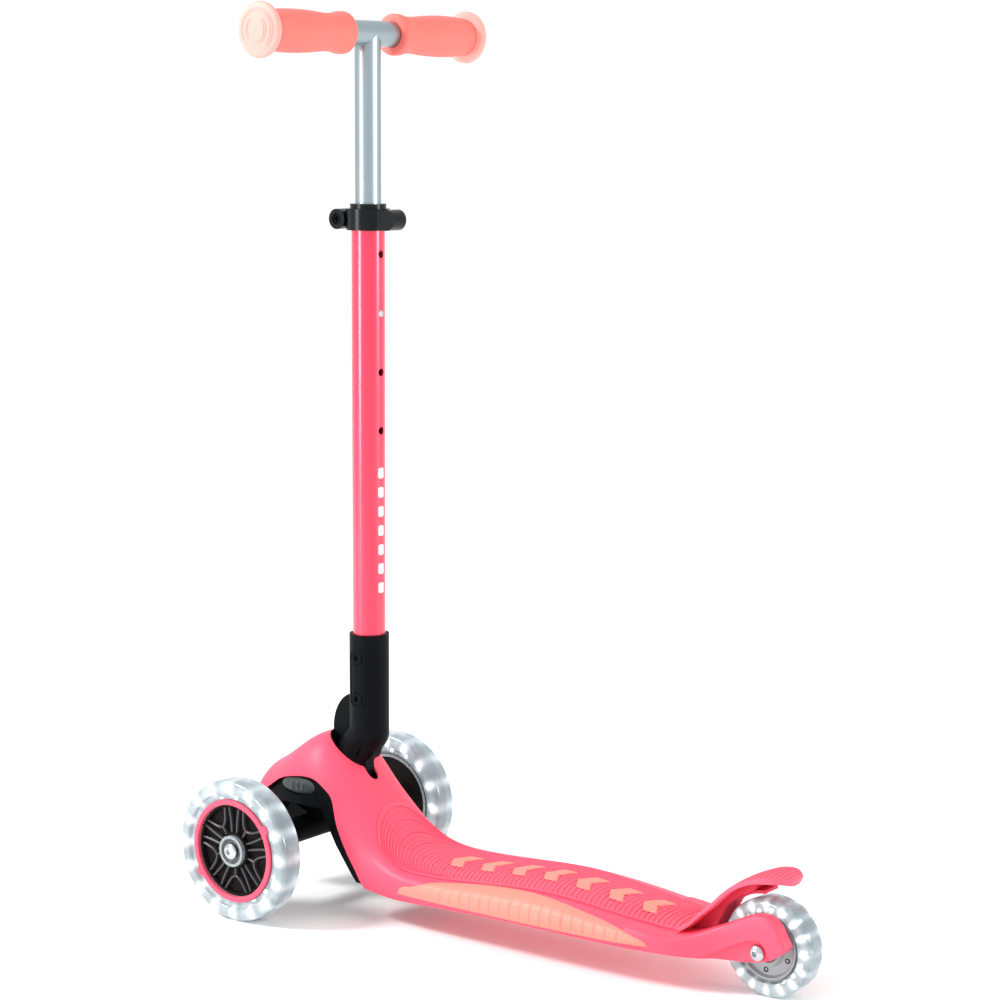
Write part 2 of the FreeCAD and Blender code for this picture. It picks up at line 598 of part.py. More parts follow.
def side_inserts(pad):
    """A slim lens on each side of the deck, up to the edge of the foot pad."""
    grown = deck_loft(size("insert_thickness"))
    solids = []
    for sign in (1, -1):
        lens = smooth_prism(INSERT_TOP, [(-160, 33.5), (90, 31.8)], 15)
        lens.translate(Vector(0, sign * 50, 0))
        solids.append(grown.common(lens).cut(envelope).cut(pad.Shape))
    return shaped("side_inserts", Part.makeCompound(solids))


def fold_plate_outline():
    """The fixed plate of the fold joint: an ellipse in front of the pivot, on a straight foot."""
    ellipse = Part.Ellipse(Vector(176, 0, 152), 34, 26).toShape()
    ellipse.rotate(Vector(176, 0, 152), Vector(1, 0, 0), 90)
    ellipse.rotate(Vector(176, 0, 152), Vector(0, 1, 0), 90)
    half = size("plate_thickness") / 2
    dome = Part.Face(Part.Wire([ellipse])).extrude(Vector(0, 2 * half, 0))
    dome.translate(Vector(0, -half - dome.BoundBox.YMin, 0))
    front = side_prism([(166.5, 143), (171.8, 190), (230, 190), (230, 120), (166.5, 120)], half)
    foot = side_prism([(165.5, 137), (201, 137), (197, 96), (168, 96), (165.5, 120)], half)
    lug = across_y(size("pivot_lug_radius"), half, pivot)
    return dome.common(front).fuse([foot, lug])


def fold_plate():
    pin_hole = across_y(size("pivot_pin_radius"), size("pivot_pin_half"), pivot)
    return shaped("fold_plate", fold_plate_outline().cut(pin_hole))


def oval(half_x, half_z, low_y, high_y):
    """An elliptical prism across the width at the lock button."""
    centre = Vector(size("lock_x"), 0, size("lock_z"))
    flat = Vector(0, 0, 0)
    curve = Part.Ellipse(flat, half_x, half_z)
    if half_x == half_z:
        curve = Part.Circle(flat, Vector(0, 0, 1), half_x)
    solid = Part.Face(Part.Wire([curve.toShape()])).extrude(Vector(0, 0, high_y - low_y))
    solid.Placement = FreeCAD.Placement(centre + Vector(0, low_y, 0), Rotation(Vector(1, 0, 0), -90))
    return solid


def front_housing():
    """Black liner that fills the top of the wheel arch and carries the kingpin and the fold plate."""
    region = side_prism([(274, 86), (262, 89), (250, 89), (186, 89), (178, 76), (168, 60), (156, 45), (145, 31),
                         (130, 31), (141, 46), (151, 60), (156, 75), (156, 100), (160, 165), (274, 165)], 60)
    inside = deck_loft(-wall - 0.4, 8.0, -52.0)
    block = inside.common(region)
    grip = size("kingpin_grip")
    boss = along_kingpin(size("truck_boss_radius"), seam + size("side_gap"), grip, size("truck_boss_offset"))
    boss = boss.common(inside)
    pocket = Part.makeCylinder(size("opening_radius") - 0.3, 60, opening + Vector(0, 0, 113))
    lip = Part.makeCylinder(size("opening_radius") - 0.1, 60, opening + Vector(0, 0, 113)).cut(
        Part.makeCylinder(size("opening_radius") - 1.1, 60, opening + Vector(0, 0, 113)))
    lip = lip.common(deck_loft(1.2)).common(box((192, -30, 100), (210, 30, 160)))
    plate_slot = box((160, -size("fork_gap") / 2, 96), (202, size("fork_gap") / 2, 165))
    kingpin_hole = along_kingpin(size("kingpin_radius"), 0, grip)
    head_pocket = along_kingpin(size("kingpin_head_radius") + size("lock_gap"), grip, 2 * grip)
    gap = size("lock_gap")
    pocket_floor = size("lock_spring_low") - 0.1
    button_pocket = oval(size("lock_half_x") + gap, size("lock_half_z") + gap, pocket_floor, 60)
    rod_hole = lock_rod(size("lock_rod_radius") + size("side_gap"), 8, size("lock_rod_high"))
    housing = block.fuse(boss).cut([pocket, plate_slot, kingpin_hole, head_pocket, button_pocket, rod_hole])
    return shaped("front_housing", housing.fuse(lip.cut(plate_slot)))


def lock_rod(radius, low_y, high_y):
    return oval(radius, radius, low_y, high_y)


def fold_button():
    pad = oval(size("lock_half_x"), size("lock_half_z"), size("lock_low"), size("lock_high"))
    return shaped("fold_button", pad.fuse(lock_rod(size("lock_rod_radius"), size("lock_rod_low"),
                                                   size("lock_rod_high"))))


def lock_spring():
    low = size("lock_spring_low")
    high = size("lock_spring_high")
    return shaped("lock_spring", lock_rod(size("lock_spring_radius"), low, high).cut(
        lock_rod(size("lock_spring_bore"), low, high)))


foot_pad = tread_pad()
nodes += [deck_shell(), foot_pad, tread_emblems(), side_inserts(foot_pad), fold_plate(),
          front_housing(), fold_button(), lock_spring()]
pin_radius = size("pivot_pin_radius") - size("bush_wall_gap")
nodes.append(shaped("fold_pivot_pin", across_y(pin_radius, size("pivot_pin_half"), pivot)))


# ---------------------------------------------------------------- rear axle and brake

fork_outer = "Dims.fork_outer"
nodes.append(domed_bolt("rear_axle_bolt", f"(2 * {fork_outer} + Dims.fork_bolt_tail)",
                        (REAR_AXLE_X, fork_outer, "Dims.rear_tyre_radius"), Y_AXIS_UP))
nut_turn = Rotation(Vector(1, 0, 0), 90)
nodes.append(shaped("rear_axle_nut", hexagon(size("nut_radius"), size("nut_height"),
                                             rear_axle - Vector(0, value(fork_outer), 0), nut_turn,
                                             size("axle_radius"))))
rear_spacer = ring("rear_left_spacer", "Dims.bearing_bore_radius", "Dims.spacer_radius",
                   "Dims.rear_tyre_width / 2 - Dims.bearing_inset + Dims.side_gap", "Dims.fork_inner",
                   (REAR_AXLE_X, "0", "Dims.rear_tyre_radius"), Y_AXIS_UP)
nodes.append(grouped("rear_wheel_spacers", [rear_spacer, mirrored("rear_right_spacer", rear_spacer)]))

FENDER_TOP = [(-176, 48.3), (-184, 54), (-190, 60), (-201, 70), (-212, 81), (-223, 90.5), (-234, 97),
              (-245, 101.5), (-256, 103.3), (-267, 104), (-275, 102.5)]
FENDER_FOOT = [(-275, 96), (-262, 95), (-250, 93.5), (-238, 89.5), (-228, 84), (-216, 76), (-204, 65.5),
               (-194, 56), (-186, 48), (-176, 44)]


def brake_fender():
    """Foot brake: a curved flap over the rear wheel, hinged at its front edge."""
    curve = Part.BSplineCurve()
    flap = smooth_prism(FENDER_TOP, FENDER_FOOT, 29)
    plan = [(-181, 31.5), (-188, 30.6), (-200, 28), (-220, 26.5), (-240, 27), (-255, 26.5), (-266, 22),
            (-273, 13), (-275, 0)]
    half = size("brake_half")
    near = [Vector(across, side, 30) for across, side in plan]
    far = [Vector(across, -side, 30) for across, side in reversed(plan[:-1])]
    curve.interpolate(near + far)
    edge = curve.toShape()
    closing = Part.makeLine(far[-1], near[0])
    trim = Part.Face(Part.Wire([edge, closing])).extrude(Vector(0, 0, 90))
    lug = across_y(size("brake_lug_radius"), half, brake_pivot)
    neck = side_prism([(-190, 36), (-178.4, 36), (-178.2, 47.5), (-188, 56)], half)
    web = side_prism([(-192, 52), (-214, 77), (-238, 92), (-246, 94), (-243, 87), (-232, 84), (-216, 75)], half)
    body = flap.common(trim).fuse([lug, neck, web])
    spring_bay = across_y(size("brake_spring_radius") + size("side_gap"), size("brake_spring_half") +
                          size("side_gap"), brake_pivot)
    pin_hole = across_y(size("brake_pin_radius") + size("bush_wall_gap"), half, brake_pivot)
    return shaped("brake_fender", body.cut([spring_bay, pin_hole]))


def brake_return_spring():
    """Torsion spring round the brake pin, with a leg under the fender."""
    half = size("brake_spring_half")
    bore = size("brake_pin_radius") + size("side_gap")
    coil = across_y(size("brake_spring_radius"), half, brake_pivot).cut(across_y(bore, half, brake_pivot))
    return shaped("brake_return_spring", coil)


def brake_shoe():
    """Friction plate under the fender, concentric with the rear wheel."""
    reach = size("rear_tyre_radius") + size("brake_gap")
    half = size("brake_shoe_half")
    shoe = across_y(reach + size("brake_shoe"), half, rear_axle).cut(across_y(reach, half, rear_axle))
    x, z = rear_axle.x, rear_axle.z
    return shoe.common(side_prism([(x + 2, z), (x + 2, 90), (x + 30, 90), (x + 24, z + 18)], half))


fender = brake_fender()
shoe_shape = brake_shoe()
fender.Shape = fender.Shape.cut(shoe_shape)
nodes += [fender, shaped("brake_shoe", shoe_shape), brake_return_spring()]
nodes.append(shaped("brake_pivot_pin", across_y(size("brake_pin_radius"), 22.8, brake_pivot)))


# ---------------------------------------------------------------- folding stem

def in_stem(shape):
    """Move a shape modelled along the upright Z axis onto the leaning stem axis."""
    shape.Placement = FreeCAD.Placement(Vector(size("stem_foot_x"), 0, 0), stem_turn).multiply(shape.Placement)
    return shape


def cross_hole(radius, height, half_length):
    return across_y(radius, half_length, Vector(0, 0, height))


knuckle_levels = (size("knuckle_upper_bolt"), size("knuckle_lower_bolt"))
facing_left = Rotation(Vector(1, 0, 0), 90)


def lower_stem_tube():
    radius = size("lower_tube_radius")
    start = size("lower_tube_start")
    length = size("lower_tube_end") - start
    tube = Part.makeCylinder(radius, length, Vector(0, 0, start)).cut(
        Part.makeCylinder(size("lower_tube_bore"), length, Vector(0, 0, start)))
    holes = []
    for index in range(4):
        height = size("top_height_hole") - index * size("height_hole_pitch")
        holes.append(Part.makeCylinder(size("height_hole_radius"), 20, Vector(0, 0, height), Vector(-1, 0, 0)))
    holes.append(cross_hole(size("knuckle_hole_radius"), size("knuckle_upper_bolt"), 20))
    return shaped("lower_stem_tube", in_stem(tube.cut(holes)))


def fold_knuckle():
    """Black socket round the stem's foot, bent forward to a ball end and forked over the fold plate."""
    radius = size("knuckle_radius")
    elbow = in_stem(Part.makeSphere(radius, Vector(0, 0, size("knuckle_elbow"))))
    elbow_centre = in_stem(Part.Vertex(0, 0, size("knuckle_elbow"))).Point
    ball = Vector(size("knuckle_ball_x"), 0, size("knuckle_ball_z"))
    neck = ball - elbow_centre
    height = size("knuckle_top") - size("knuckle_elbow")
    socket = in_stem(Part.makeCylinder(radius, height, Vector(0, 0, size("knuckle_elbow"))))
    bend = Part.makeCylinder(radius, neck.Length, elbow_centre, neck)
    body = socket.fuse([elbow, Part.makeSphere(radius, ball), bend])
    bore = in_stem(Part.makeCylinder(size("lower_tube_radius"), 60,
                                     Vector(0, 0, size("lower_tube_start"))))
    half = size("fork_gap") / 2
    gap = side_prism([(pivot.x + 0.3, 139), (pivot.x + 0.3, 146.5), (170.6, 191), (230, 191), (230, 90),
                      (130, 90), (130, 134)], half)
    gap = gap.fuse(across_y(size("pivot_lug_radius") + 0.5, half, pivot))
    pin = across_y(size("pivot_pin_radius"), 15, pivot)
    cuts = [bore, gap, pin]
    for level in knuckle_levels:
        cuts.append(in_stem(cross_hole(size("knuckle_hole_radius"), level, 2 * radius)))
        for side in (1, -1):
            seat = Vector(0, side * size("knuckle_seat"), level)
            pocket = Part.makeCylinder(size("knuckle_seat_radius"), radius, seat, Vector(0, side, 0))
            cuts.append(in_stem(pocket))
    return shaped("fold_knuckle", body.cut(cuts))


def knuckle_bolts():
    seat = size("knuckle_seat")
    top = seat + size("knuckle_head")
    radius = size("knuckle_head_radius")
    solids = []
    for level in knuckle_levels:
        shaft = across_y(size("knuckle_bolt_radius"), top, Vector(0, 0, level))
        head = Part.makeCylinder(radius, top - seat, Vector(0, seat, level), Vector(0, 1, 0))
        socket = hexagon(size("socket_radius"), size("socket_depth"), Vector(0, top, level), facing_left)
        solids.append(in_stem(shaft.fuse(head).cut(socket)))
    return shaped("knuckle_bolts", Part.makeCompound(solids))


def knuckle_nuts():
    radius = size("knuckle_head_radius")
    height = size("knuckle_head") - size("side_gap")
    bore = size("knuckle_bolt_radius")
    solids = []
    for level in knuckle_levels:
        seat = Vector(0, -size("knuckle_seat"), level)
        solids.append(in_stem(hexagon(radius, height, seat, facing_left, bore)))
    return shaped("knuckle_nuts", Part.makeCompound(solids))


clamp_low = size("clamp_bottom")
clamp_high = clamp_low + size("clamp_height")
clamp_middle = (clamp_low + clamp_high) / 2


def clamp_cross(radius, reach, low_y, high_y):
    """A cylinder across the clamp collar at its middle height."""
    return Part.makeCylinder(radius, high_y - low_y, Vector(reach, low_y, clamp_middle), Vector(0, 1, 0))


def clamp_collar():
    front = size("clamp_boss_reach")
    rear = size("clamp_lobe_reach")
    half = size("clamp_half")
    lobe_half = size("clamp_lobe_half")
    bridge_half = size("clamp_bridge_half")
    split_half = size("clamp_split") / 2
    tube = size("lower_tube_radius")
    height = clamp_high - clamp_low
    body = Part.makeCylinder(size("clamp_radius"), height, Vector(0, 0, clamp_low))
    boss = clamp_cross(size("clamp_boss_radius"), front, -half, half + 2)
    lobe = clamp_cross(size("clamp_lobe_radius"), -rear, -lobe_half, lobe_half)
    bridge = box((0, -bridge_half, clamp_low + 1.5), (front, bridge_half, clamp_high - 1.5))
    back = box((-rear, -lobe_half, clamp_low + 1), (0, lobe_half, clamp_high - 1))
    bore = Part.makeCylinder(tube, height, Vector(0, 0, clamp_low))
    split = box((tube - 2, -split_half, clamp_low), (2 * front, split_half, clamp_high))
    seat = size("clamp_seat")
    hole = clamp_cross(size("clamp_screw_radius") + 0.1, front, -seat, seat)
    head_seat = clamp_cross(size("clamp_seat_radius"), front, seat, 2 * seat)
    nut_seat = clamp_cross(size("clamp_seat_radius"), front, -2 * seat, -seat)
    solid = body.fuse([boss, lobe, bridge, back]).cut([bore, split, hole, head_seat, nut_seat])
    return shaped("clamp_collar", in_stem(solid))


def clamp_fasteners():
    front = size("clamp_boss_reach")
    seat = size("clamp_seat")
    top = seat + size("clamp_head")
    screw = size("clamp_screw_radius")
    shaft = clamp_cross(screw, front, -seat - size("clamp_nut"), seat)
    head = clamp_cross(size("clamp_head_radius"), front, seat, top)
    socket = hexagon(size("socket_radius"), size("socket_depth"), Vector(front, top, clamp_middle), facing_left)
    bolt = shaped("clamp_bolt", in_stem(shaft.fuse(head).cut(socket)))
    nut_seat = Vector(front, -seat, clamp_middle)
    nut = hexagon(size("clamp_nut_radius"), size("clamp_nut"), nut_seat, facing_left, screw)
    return [bolt, shaped("clamp_nut", in_stem(nut))]


nodes += [lower_stem_tube(), fold_knuckle(), knuckle_bolts(), knuckle_nuts(), clamp_collar()]
nodes += clamp_fasteners()
bushing_bore = "(Dims.upper_tube_radius + Dims.running_gap)"
tube_end = "Dims.lower_tube_end"
bushing_start = f"{tube_end} - Dims.bushing_length"
flange_top = f"{tube_end} + Dims.bushing_flange"
nodes.append(turned("stem_top_bushing", [
    (bushing_bore, bushing_start), ("Dims.lower_tube_bore", bushing_start), ("Dims.lower_tube_bore", tube_end),
    ("Dims.bushing_flange_radius", tube_end), ("Dims.bushing_flange_radius", flange_top),
    (bushing_bore, flange_top)], STEM_FOOT, stem_turn))


# ---------------------------------------------------------------- T-bar

def upper_stem_tube():
    radius = size("upper_tube_radius")
    start = size("upper_tube_start")
    top = size("handlebar_height")
    tube = Part.makeCylinder(radius, top - start, Vector(0, 0, start)).cut(
        Part.makeCylinder(size("upper_tube_bore"), top - start, Vector(0, 0, start)))
    handlebar = across_y(radius, 40, Vector(0, 0, top))
    hole = Part.makeCylinder(size("height_hole_radius"), 20, Vector(0, 0, size("button_hole")),
                             Vector(-1, 0, 0))
    return shaped("upper_stem_tube", in_stem(tube.cut([handlebar, hole])))


def height_button():
    start = size("spring_reach") + size("side_gap")
    end = size("lower_tube_radius") + size("button_proud")
    pin = Part.makeCylinder(size("button_radius"), end - start, Vector(-start, 0, size("button_hole")),
                            Vector(-1, 0, 0))
    tip = [edge for edge in pin.Edges if abs(edge.CenterOfMass.x + end) < 1e-3]
    return shaped("height_button", in_stem(pin.makeFillet(1.4, tip)))


def button_spring():
    """A bent strip that pushes the height button out through both tubes."""
    outer = size("spring_reach")
    thick = size("spring_strip")
    half = size("spring_half")
    foot = size("button_hole") - size("spring_below")
    head = size("button_hole") + size("spring_above")
    bend = across_y(outer, half, Vector(0, 0, foot)).cut(across_y(outer - thick, half, Vector(0, 0, foot)))
    bend = bend.common(box((-outer, -half, foot - outer), (outer, half, foot)))
    legs = [box((-outer, -half, foot), (thick - outer, half, head)), box((outer - thick, -half, foot),
                                                                        (outer, half, head))]
    return shaped("button_spring", in_stem(bend.fuse(legs)))


bar_height = "Dims.handlebar_height"
bar_x = f"Dims.stem_foot_x - sin(Dims.stem_lean * 1 deg) * {bar_height}"
bar_z = f"cos(Dims.stem_lean * 1 deg) * {bar_height}"
BAR_CENTRE = (bar_x, "0", bar_z)
nodes += [upper_stem_tube(), height_button(), button_spring()]
nodes.append(ring("handlebar_tube", "Dims.upper_tube_bore", "Dims.upper_tube_radius",
                  "-Dims.handlebar_half_length", "Dims.handlebar_half_length", BAR_CENTRE, Y_AXIS_UP))
nodes.append(ring("stem_guide_bush", "Dims.upper_tube_radius", "Dims.lower_tube_bore - Dims.running_gap",
                  "Dims.upper_tube_start", "Dims.upper_tube_start + Dims.guide_length", STEM_FOOT, stem_turn))

tube_radius = "Dims.upper_tube_radius"
start_y = "Dims.grip_start"
end_y = "Dims.grip_end"
left_grip = turned("left_grip", [
    (tube_radius, start_y), ("Dims.grip_flange_radius - 1.5", start_y),
    ("Dims.grip_flange_radius", f"{start_y} + 2"), ("Dims.grip_flange_radius", f"{start_y} + 6"),
    ("Dims.grip_waist_radius", f"{start_y} + 13"), ("Dims.grip_waist_radius", f"{start_y} + 26"),
    ("Dims.grip_bulge_radius", f"{start_y} + 50"), ("Dims.grip_bulge_radius", f"{start_y} + 66"),
    ("Dims.grip_waist_radius", end_y), (tube_radius, end_y)], BAR_CENTRE, Y_AXIS_UP)
bumper_y = "Dims.bumper_start"
left_bumper = turned("left_grip_bumper", [
    ("0", f"{bumper_y} - 22"), ("Dims.upper_tube_bore - 0.1", f"{bumper_y} - 22"),
    ("Dims.upper_tube_bore - 0.1", bumper_y), ("Dims.bumper_radius - 4", bumper_y),
    ("Dims.bumper_radius", f"{bumper_y} + 3"), ("Dims.bumper_radius", f"{bumper_y} + 5.5"),
    ("Dims.bumper_radius - 3.5", f"{bumper_y} + Dims.bumper_thickness"),
    ("0", f"{bumper_y} + Dims.bumper_thickness + 2.5")], BAR_CENTRE, Y_AXIS_UP)
nodes.append(grouped("grips", [left_grip, mirrored("right_grip", left_grip)]))
nodes.append(grouped("grip_bumpers", [left_bumper, mirrored("right_grip_bumper", left_bumper)]))


# ---------------------------------------------------------------- checks and files

doc.recompute()
for item in doc.Objects:
    problems = {"Invalid", "Error"} & set(item.State)
    if problems:
        raise RuntimeError(f"{item.Label} is {problems}")
os.makedirs("parts", exist_ok=True)
for node in nodes:
    if node.Shape.isNull() or not node.Shape.isValid():
        raise RuntimeError(f"{node.Label} has no valid shape")
    node.Shape.exportStep(f"parts/{node.Label}.step")
    print(node.Label, len(node.Shape.Solids), round(node.Shape.Volume, 1))
print(len(nodes), "nodes")
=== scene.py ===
import math
import bmesh
import bpy
import numpy as np
from mathutils import Matrix, Vector


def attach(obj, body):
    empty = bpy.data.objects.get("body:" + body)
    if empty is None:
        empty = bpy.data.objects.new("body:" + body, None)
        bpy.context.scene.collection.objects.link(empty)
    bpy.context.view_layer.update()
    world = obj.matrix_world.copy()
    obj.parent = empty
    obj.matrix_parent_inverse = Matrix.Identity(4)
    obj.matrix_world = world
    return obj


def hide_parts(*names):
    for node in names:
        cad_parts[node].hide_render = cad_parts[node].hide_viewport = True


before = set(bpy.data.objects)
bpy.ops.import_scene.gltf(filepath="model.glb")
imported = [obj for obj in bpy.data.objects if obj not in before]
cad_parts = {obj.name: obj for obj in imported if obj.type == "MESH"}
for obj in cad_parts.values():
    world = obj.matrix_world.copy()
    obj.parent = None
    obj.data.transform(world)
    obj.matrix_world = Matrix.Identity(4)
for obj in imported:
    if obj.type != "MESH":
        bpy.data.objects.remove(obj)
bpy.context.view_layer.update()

MM = 0.001
FRONT_X, FRONT_Z, HALF_TRACK = 225.0, 61.5, 103.0
REAR_X, REAR_Z = -247.0, 39.5
STEM_LEAN = math.radians(1.212)
STEM_FOOT_X = 168.4
STEM_PLACE = Matrix.Translation((STEM_FOOT_X, 0, 0)) @ Matrix.Rotation(-STEM_LEAN, 4, "Y")
BAR_HEIGHT = 751.0
BAR_CENTRE = Vector((STEM_FOOT_X - math.sin(STEM_LEAN) * BAR_HEIGHT, 0, math.cos(STEM_LEAN) * BAR_HEIGHT))
LAMPS = 16
SIDES = ((1, "left"), (-1, "right"))


# ---- camera, light and floor

def add_camera():
    """A long lens from behind the rider's left, as the reference view."""
    data = bpy.data.cameras.new("camera")
    data.lens = 90.1
    data.sensor_width = 36.0
    data.clip_end = 20.0
    camera = bpy.data.objects.new("camera", data)
    bpy.context.collection.objects.link(camera)
    yaw, pitch, roll = math.radians(52.081), math.radians(8.251), math.radians(-0.645)
    ahead = Vector((math.cos(pitch) * math.cos(yaw), -math.cos(pitch) * math.sin(yaw), -math.sin(pitch)))
    right = ahead.cross(Vector((0, 0, 1))).normalized()
    up = right.cross(ahead)
    turned_right = right * math.cos(roll) + up * math.sin(roll)
    turned_up = up * math.cos(roll) - right * math.sin(roll)
    axes = Matrix((turned_right, turned_up, -ahead)).transposed().to_4x4()
    camera.matrix_world = Matrix.Translation(Vector((-1.2363, 1.6102, 0.6642))) @ axes
    bpy.context.scene.camera = camera


def add_light(name, place, target, size, power):
    data = bpy.data.lights.new(name, "AREA")
    data.shape = "DISK"
    data.size = size
    data.energy = power
    light = bpy.data.objects.new(name, data)
    bpy.context.collection.objects.link(light)
    light.location = place
    light.rotation_euler = (Vector(target) - Vector(place)).to_track_quat("-Z", "Y").to_euler()


def add_stage():
    world = bpy.data.worlds.new("studio")
    bpy.context.scene.world = world
    world.use_nodes = True
    background = world.node_tree.nodes["Background"]
    put(background, Color=(1.0, 1.0, 1.0, 1.0), Strength=1.04)
    bpy.context.scene.view_settings.view_transform = "Standard"
    mesh = bpy.data.meshes.new("floor")
    reach = 12.0
    mesh.from_pydata([(-reach, -reach, 0), (reach, -reach, 0), (reach, reach, 0), (-reach, reach, 0)], [],
                     [(0, 1, 2, 3)])
    floor = bpy.data.objects.new("floor", mesh)
    bpy.context.collection.objects.link(floor)
    floor.location.z = -0.0005
    mat, _, _, shader = node_material("floor_white")
    put(shader, Base_Color=(0.98, 0.98, 0.98, 1), Roughness=0.9, Specular_IOR_Level=0.1)
    mesh.materials.append(mat)
    target = (-0.02, 0.0, 0.25)
    add_light("key", (1.6, 1.5, 2.3), target, 0.7, 72)
    add_light("left_strip", (1.0, 2.3, 0.4), (0.0, 0.0, 0.15), 0.6, 18)
    add_light("right_strip", (-2.3, -0.9, 0.6), (0.0, 0.0, 0.2), 0.6, 22)


# ---- materials

def node_material(name):
    mat = bpy.data.materials.new(name)
    mat.use_nodes = True
    nodes = mat.node_tree.nodes
    return mat, nodes, mat.node_tree.links, nodes["Principled BSDF"]


def put(node, **sockets):
    """Set the values of a node's sockets, with an underscore for each space in a name."""
    for socket, value in sockets.items():
        node.inputs[socket.replace("_", " ")].default_value = value


def noise(nodes, links, coordinates, scale, detail=3.0):
    texture = nodes.new("ShaderNodeTexNoise")
    put(texture, Scale=scale, Detail=detail)
    links.new(coordinates, texture.inputs["Vector"])
    return texture.outputs["Fac"]


def between(nodes, links, factor, low, high):
    """Map a 0..1 factor to a range of numbers."""
    node = nodes.new("ShaderNodeMapRange")
    put(node, From_Min=0.3, From_Max=0.7, To_Min=low, To_Max=high)
    links.new(factor, node.inputs["Value"])
    return node.outputs["Result"]


def mix_colour(nodes, links, factor, first, second):
    node = nodes.new("ShaderNodeMix")
    node.data_type = "RGBA"
    links.new(factor, node.inputs["Factor"])
    put(node, A=(*first, 1), B=(*second, 1))
    return node.outputs["Result"]


def surface(name, colour, roughness, shade=0.9, grain=1400.0, bump=0.12, spread=0.05, metallic=0.0,
            stretch=None, **sockets):
    """A moulded, painted or metal surface: patchy colour, uneven gloss and a fine grain."""
    mat, nodes, links, shader = node_material(name)
    place = nodes.new("ShaderNodeTexCoord").outputs["Object"]
    fine_place = place
    if stretch:
        mapping = nodes.new("ShaderNodeMapping")
        put(mapping, Scale=stretch)
        links.new(place, mapping.inputs["Vector"])
        fine_place = mapping.outputs["Vector"]
    patches = noise(nodes, links, place, 22.0)
    fine = noise(nodes, links, fine_place, grain, 2.0)
    darker = tuple(channel * shade for channel in colour)
    links.new(mix_colour(nodes, links, between(nodes, links, patches, 0, 1), darker, colour),
              shader.inputs["Base Color"])
    links.new(between(nodes, links, fine, roughness - spread, roughness + spread), shader.inputs["Roughness"])
    relief = nodes.new("ShaderNodeBump")
    put(relief, Strength=bump, Distance=0.0001)
    links.new(fine, relief.inputs["Height"])
    links.new(relief.outputs["Normal"], shader.inputs["Normal"])
    put(shader, Metallic=metallic)
    put(shader, **sockets)
    return mat


def clear_tyre(name, centre, lamp_radius, blob):
    """Cast clear polyurethane, lit from inside by a ring of lamps, whose light is painted into its emission.
    """
    mat, nodes, links, shader = node_material(name)
    place = nodes.new("ShaderNodeTexCoord").outputs["Object"]
    local = nodes.new("ShaderNodeVectorMath")
    local.operation = "SUBTRACT"
    local.inputs[1].default_value = centre
    links.new(place, local.inputs[0])
    split = nodes.new("ShaderNodeSeparateXYZ")
    links.new(local.outputs["Vector"], split.inputs["Vector"])

    def maths(operation, first, second=None):
        node = nodes.new("ShaderNodeMath")
        node.operation = operation
        for index, item in enumerate((first, second)):
            if item is None:
                continue
            if isinstance(item, (int, float)):
                node.inputs[index].default_value = item
            else:
                links.new(item, node.inputs[index])
        return node.outputs["Value"]

    across, up = split.outputs["X"], split.outputs["Z"]
    # The lamps' light in the tyre is painted into its emission: a bright band at the lamp radius, strongest
    # at each lamp.
    radius = maths("SQRT", maths("ADD", maths("MULTIPLY", across, across), maths("MULTIPLY", up, up)))
    turn = maths("ARCTAN2", up, across)
    wave = maths("COSINE", maths("MULTIPLY", turn, LAMPS))
    spot = maths("POWER", maths("MULTIPLY", maths("ADD", wave, 1.0), 0.5), 3.0)
    offset = maths("DIVIDE", maths("SUBTRACT", radius, lamp_radius), blob)
    band = maths("EXPONENT", maths("MULTIPLY", maths("MULTIPLY", offset, offset), -1.0))
    painted_glow = maths("MULTIPLY", maths("ADD", spot, 0.16), band)
    patches = noise(nodes, links, place, 60.0)
    patches = between(nodes, links, patches, 0, 1)
    tint = mix_colour(nodes, links, patches, (0.24, 0.30, 0.33), (0.36, 0.43, 0.46))
    links.new(tint, shader.inputs["Base Color"])
    gloss = between(nodes, links, noise(nodes, links, place, 900.0), 0.10, 0.22)
    links.new(gloss, shader.inputs["Roughness"])
    put(shader, Transmission_Weight=0.45, IOR=1.36, Coat_Weight=0.5, Coat_Roughness=0.12,
        Emission_Color=(0.93, 0.98, 1.0, 1))
    links.new(maths("MULTIPLY", painted_glow, 1.1), shader.inputs["Emission Strength"])
    return mat


def lamp_material(name):
    mat, nodes, links, shader = node_material(name)
    place = nodes.new("ShaderNodeTexCoord").outputs["Object"]
    speckle = between(nodes, links, noise(nodes, links, place, 700.0), 3.0, 5.0)
    put(shader, Base_Color=(0.9, 0.95, 1.0, 1), Roughness=0.3, Emission_Color=(0.95, 0.98, 1.0, 1))
    links.new(speckle, shader.inputs["Emission Strength"])
    return mat


# colour, roughness, shade, grain, bump, spread and metallic, then further sockets
PINK = surface("pink_plastic_look", (0.93, 0.075, 0.140), 0.46, 0.95, 1500, 0.10, Specular_IOR_Level=0.35)
RIDGED = surface("ridged_pink_look", (0.93, 0.095, 0.165), 0.50, 0.95, 1500, 0.10, Specular_IOR_Level=0.35)
# A darker copy of the pink plastic: painted shade for the web and the brake shoe under the fender.
SHADED_PINK = surface("shaded_pink_look", (0.60, 0.022, 0.065), 0.50, 0.92, 1500, 0.10, Specular_IOR_Level=0.3)
TUBE = surface("pink_tube_look", (0.80, 0.022, 0.075), 0.34, 0.96, 2600, 0.03, 0.04, 0.35,
               stretch=(1.0, 1.0, 0.04), Coat_Weight=0.8, Coat_Roughness=0.18)
PEACH = surface("peach_plastic_look", (0.84, 0.225, 0.170), 0.50, 0.95, 1500, 0.10)
GRIP = surface("grip_rubber_look", (0.88, 0.175, 0.145), 0.60, 0.93, 1800, 0.20, Specular_IOR_Level=0.35)
BUMPER = surface("bumper_rubber_look", (0.82, 0.36, 0.315), 0.52, 0.95, 1600, Specular_IOR_Level=0.35)
BLACK = surface("black_plastic_look", (0.0025, 0.0035, 0.0045), 0.46, 0.7, 1300, 0.14, 0.06,
                Specular_IOR_Level=0.06)
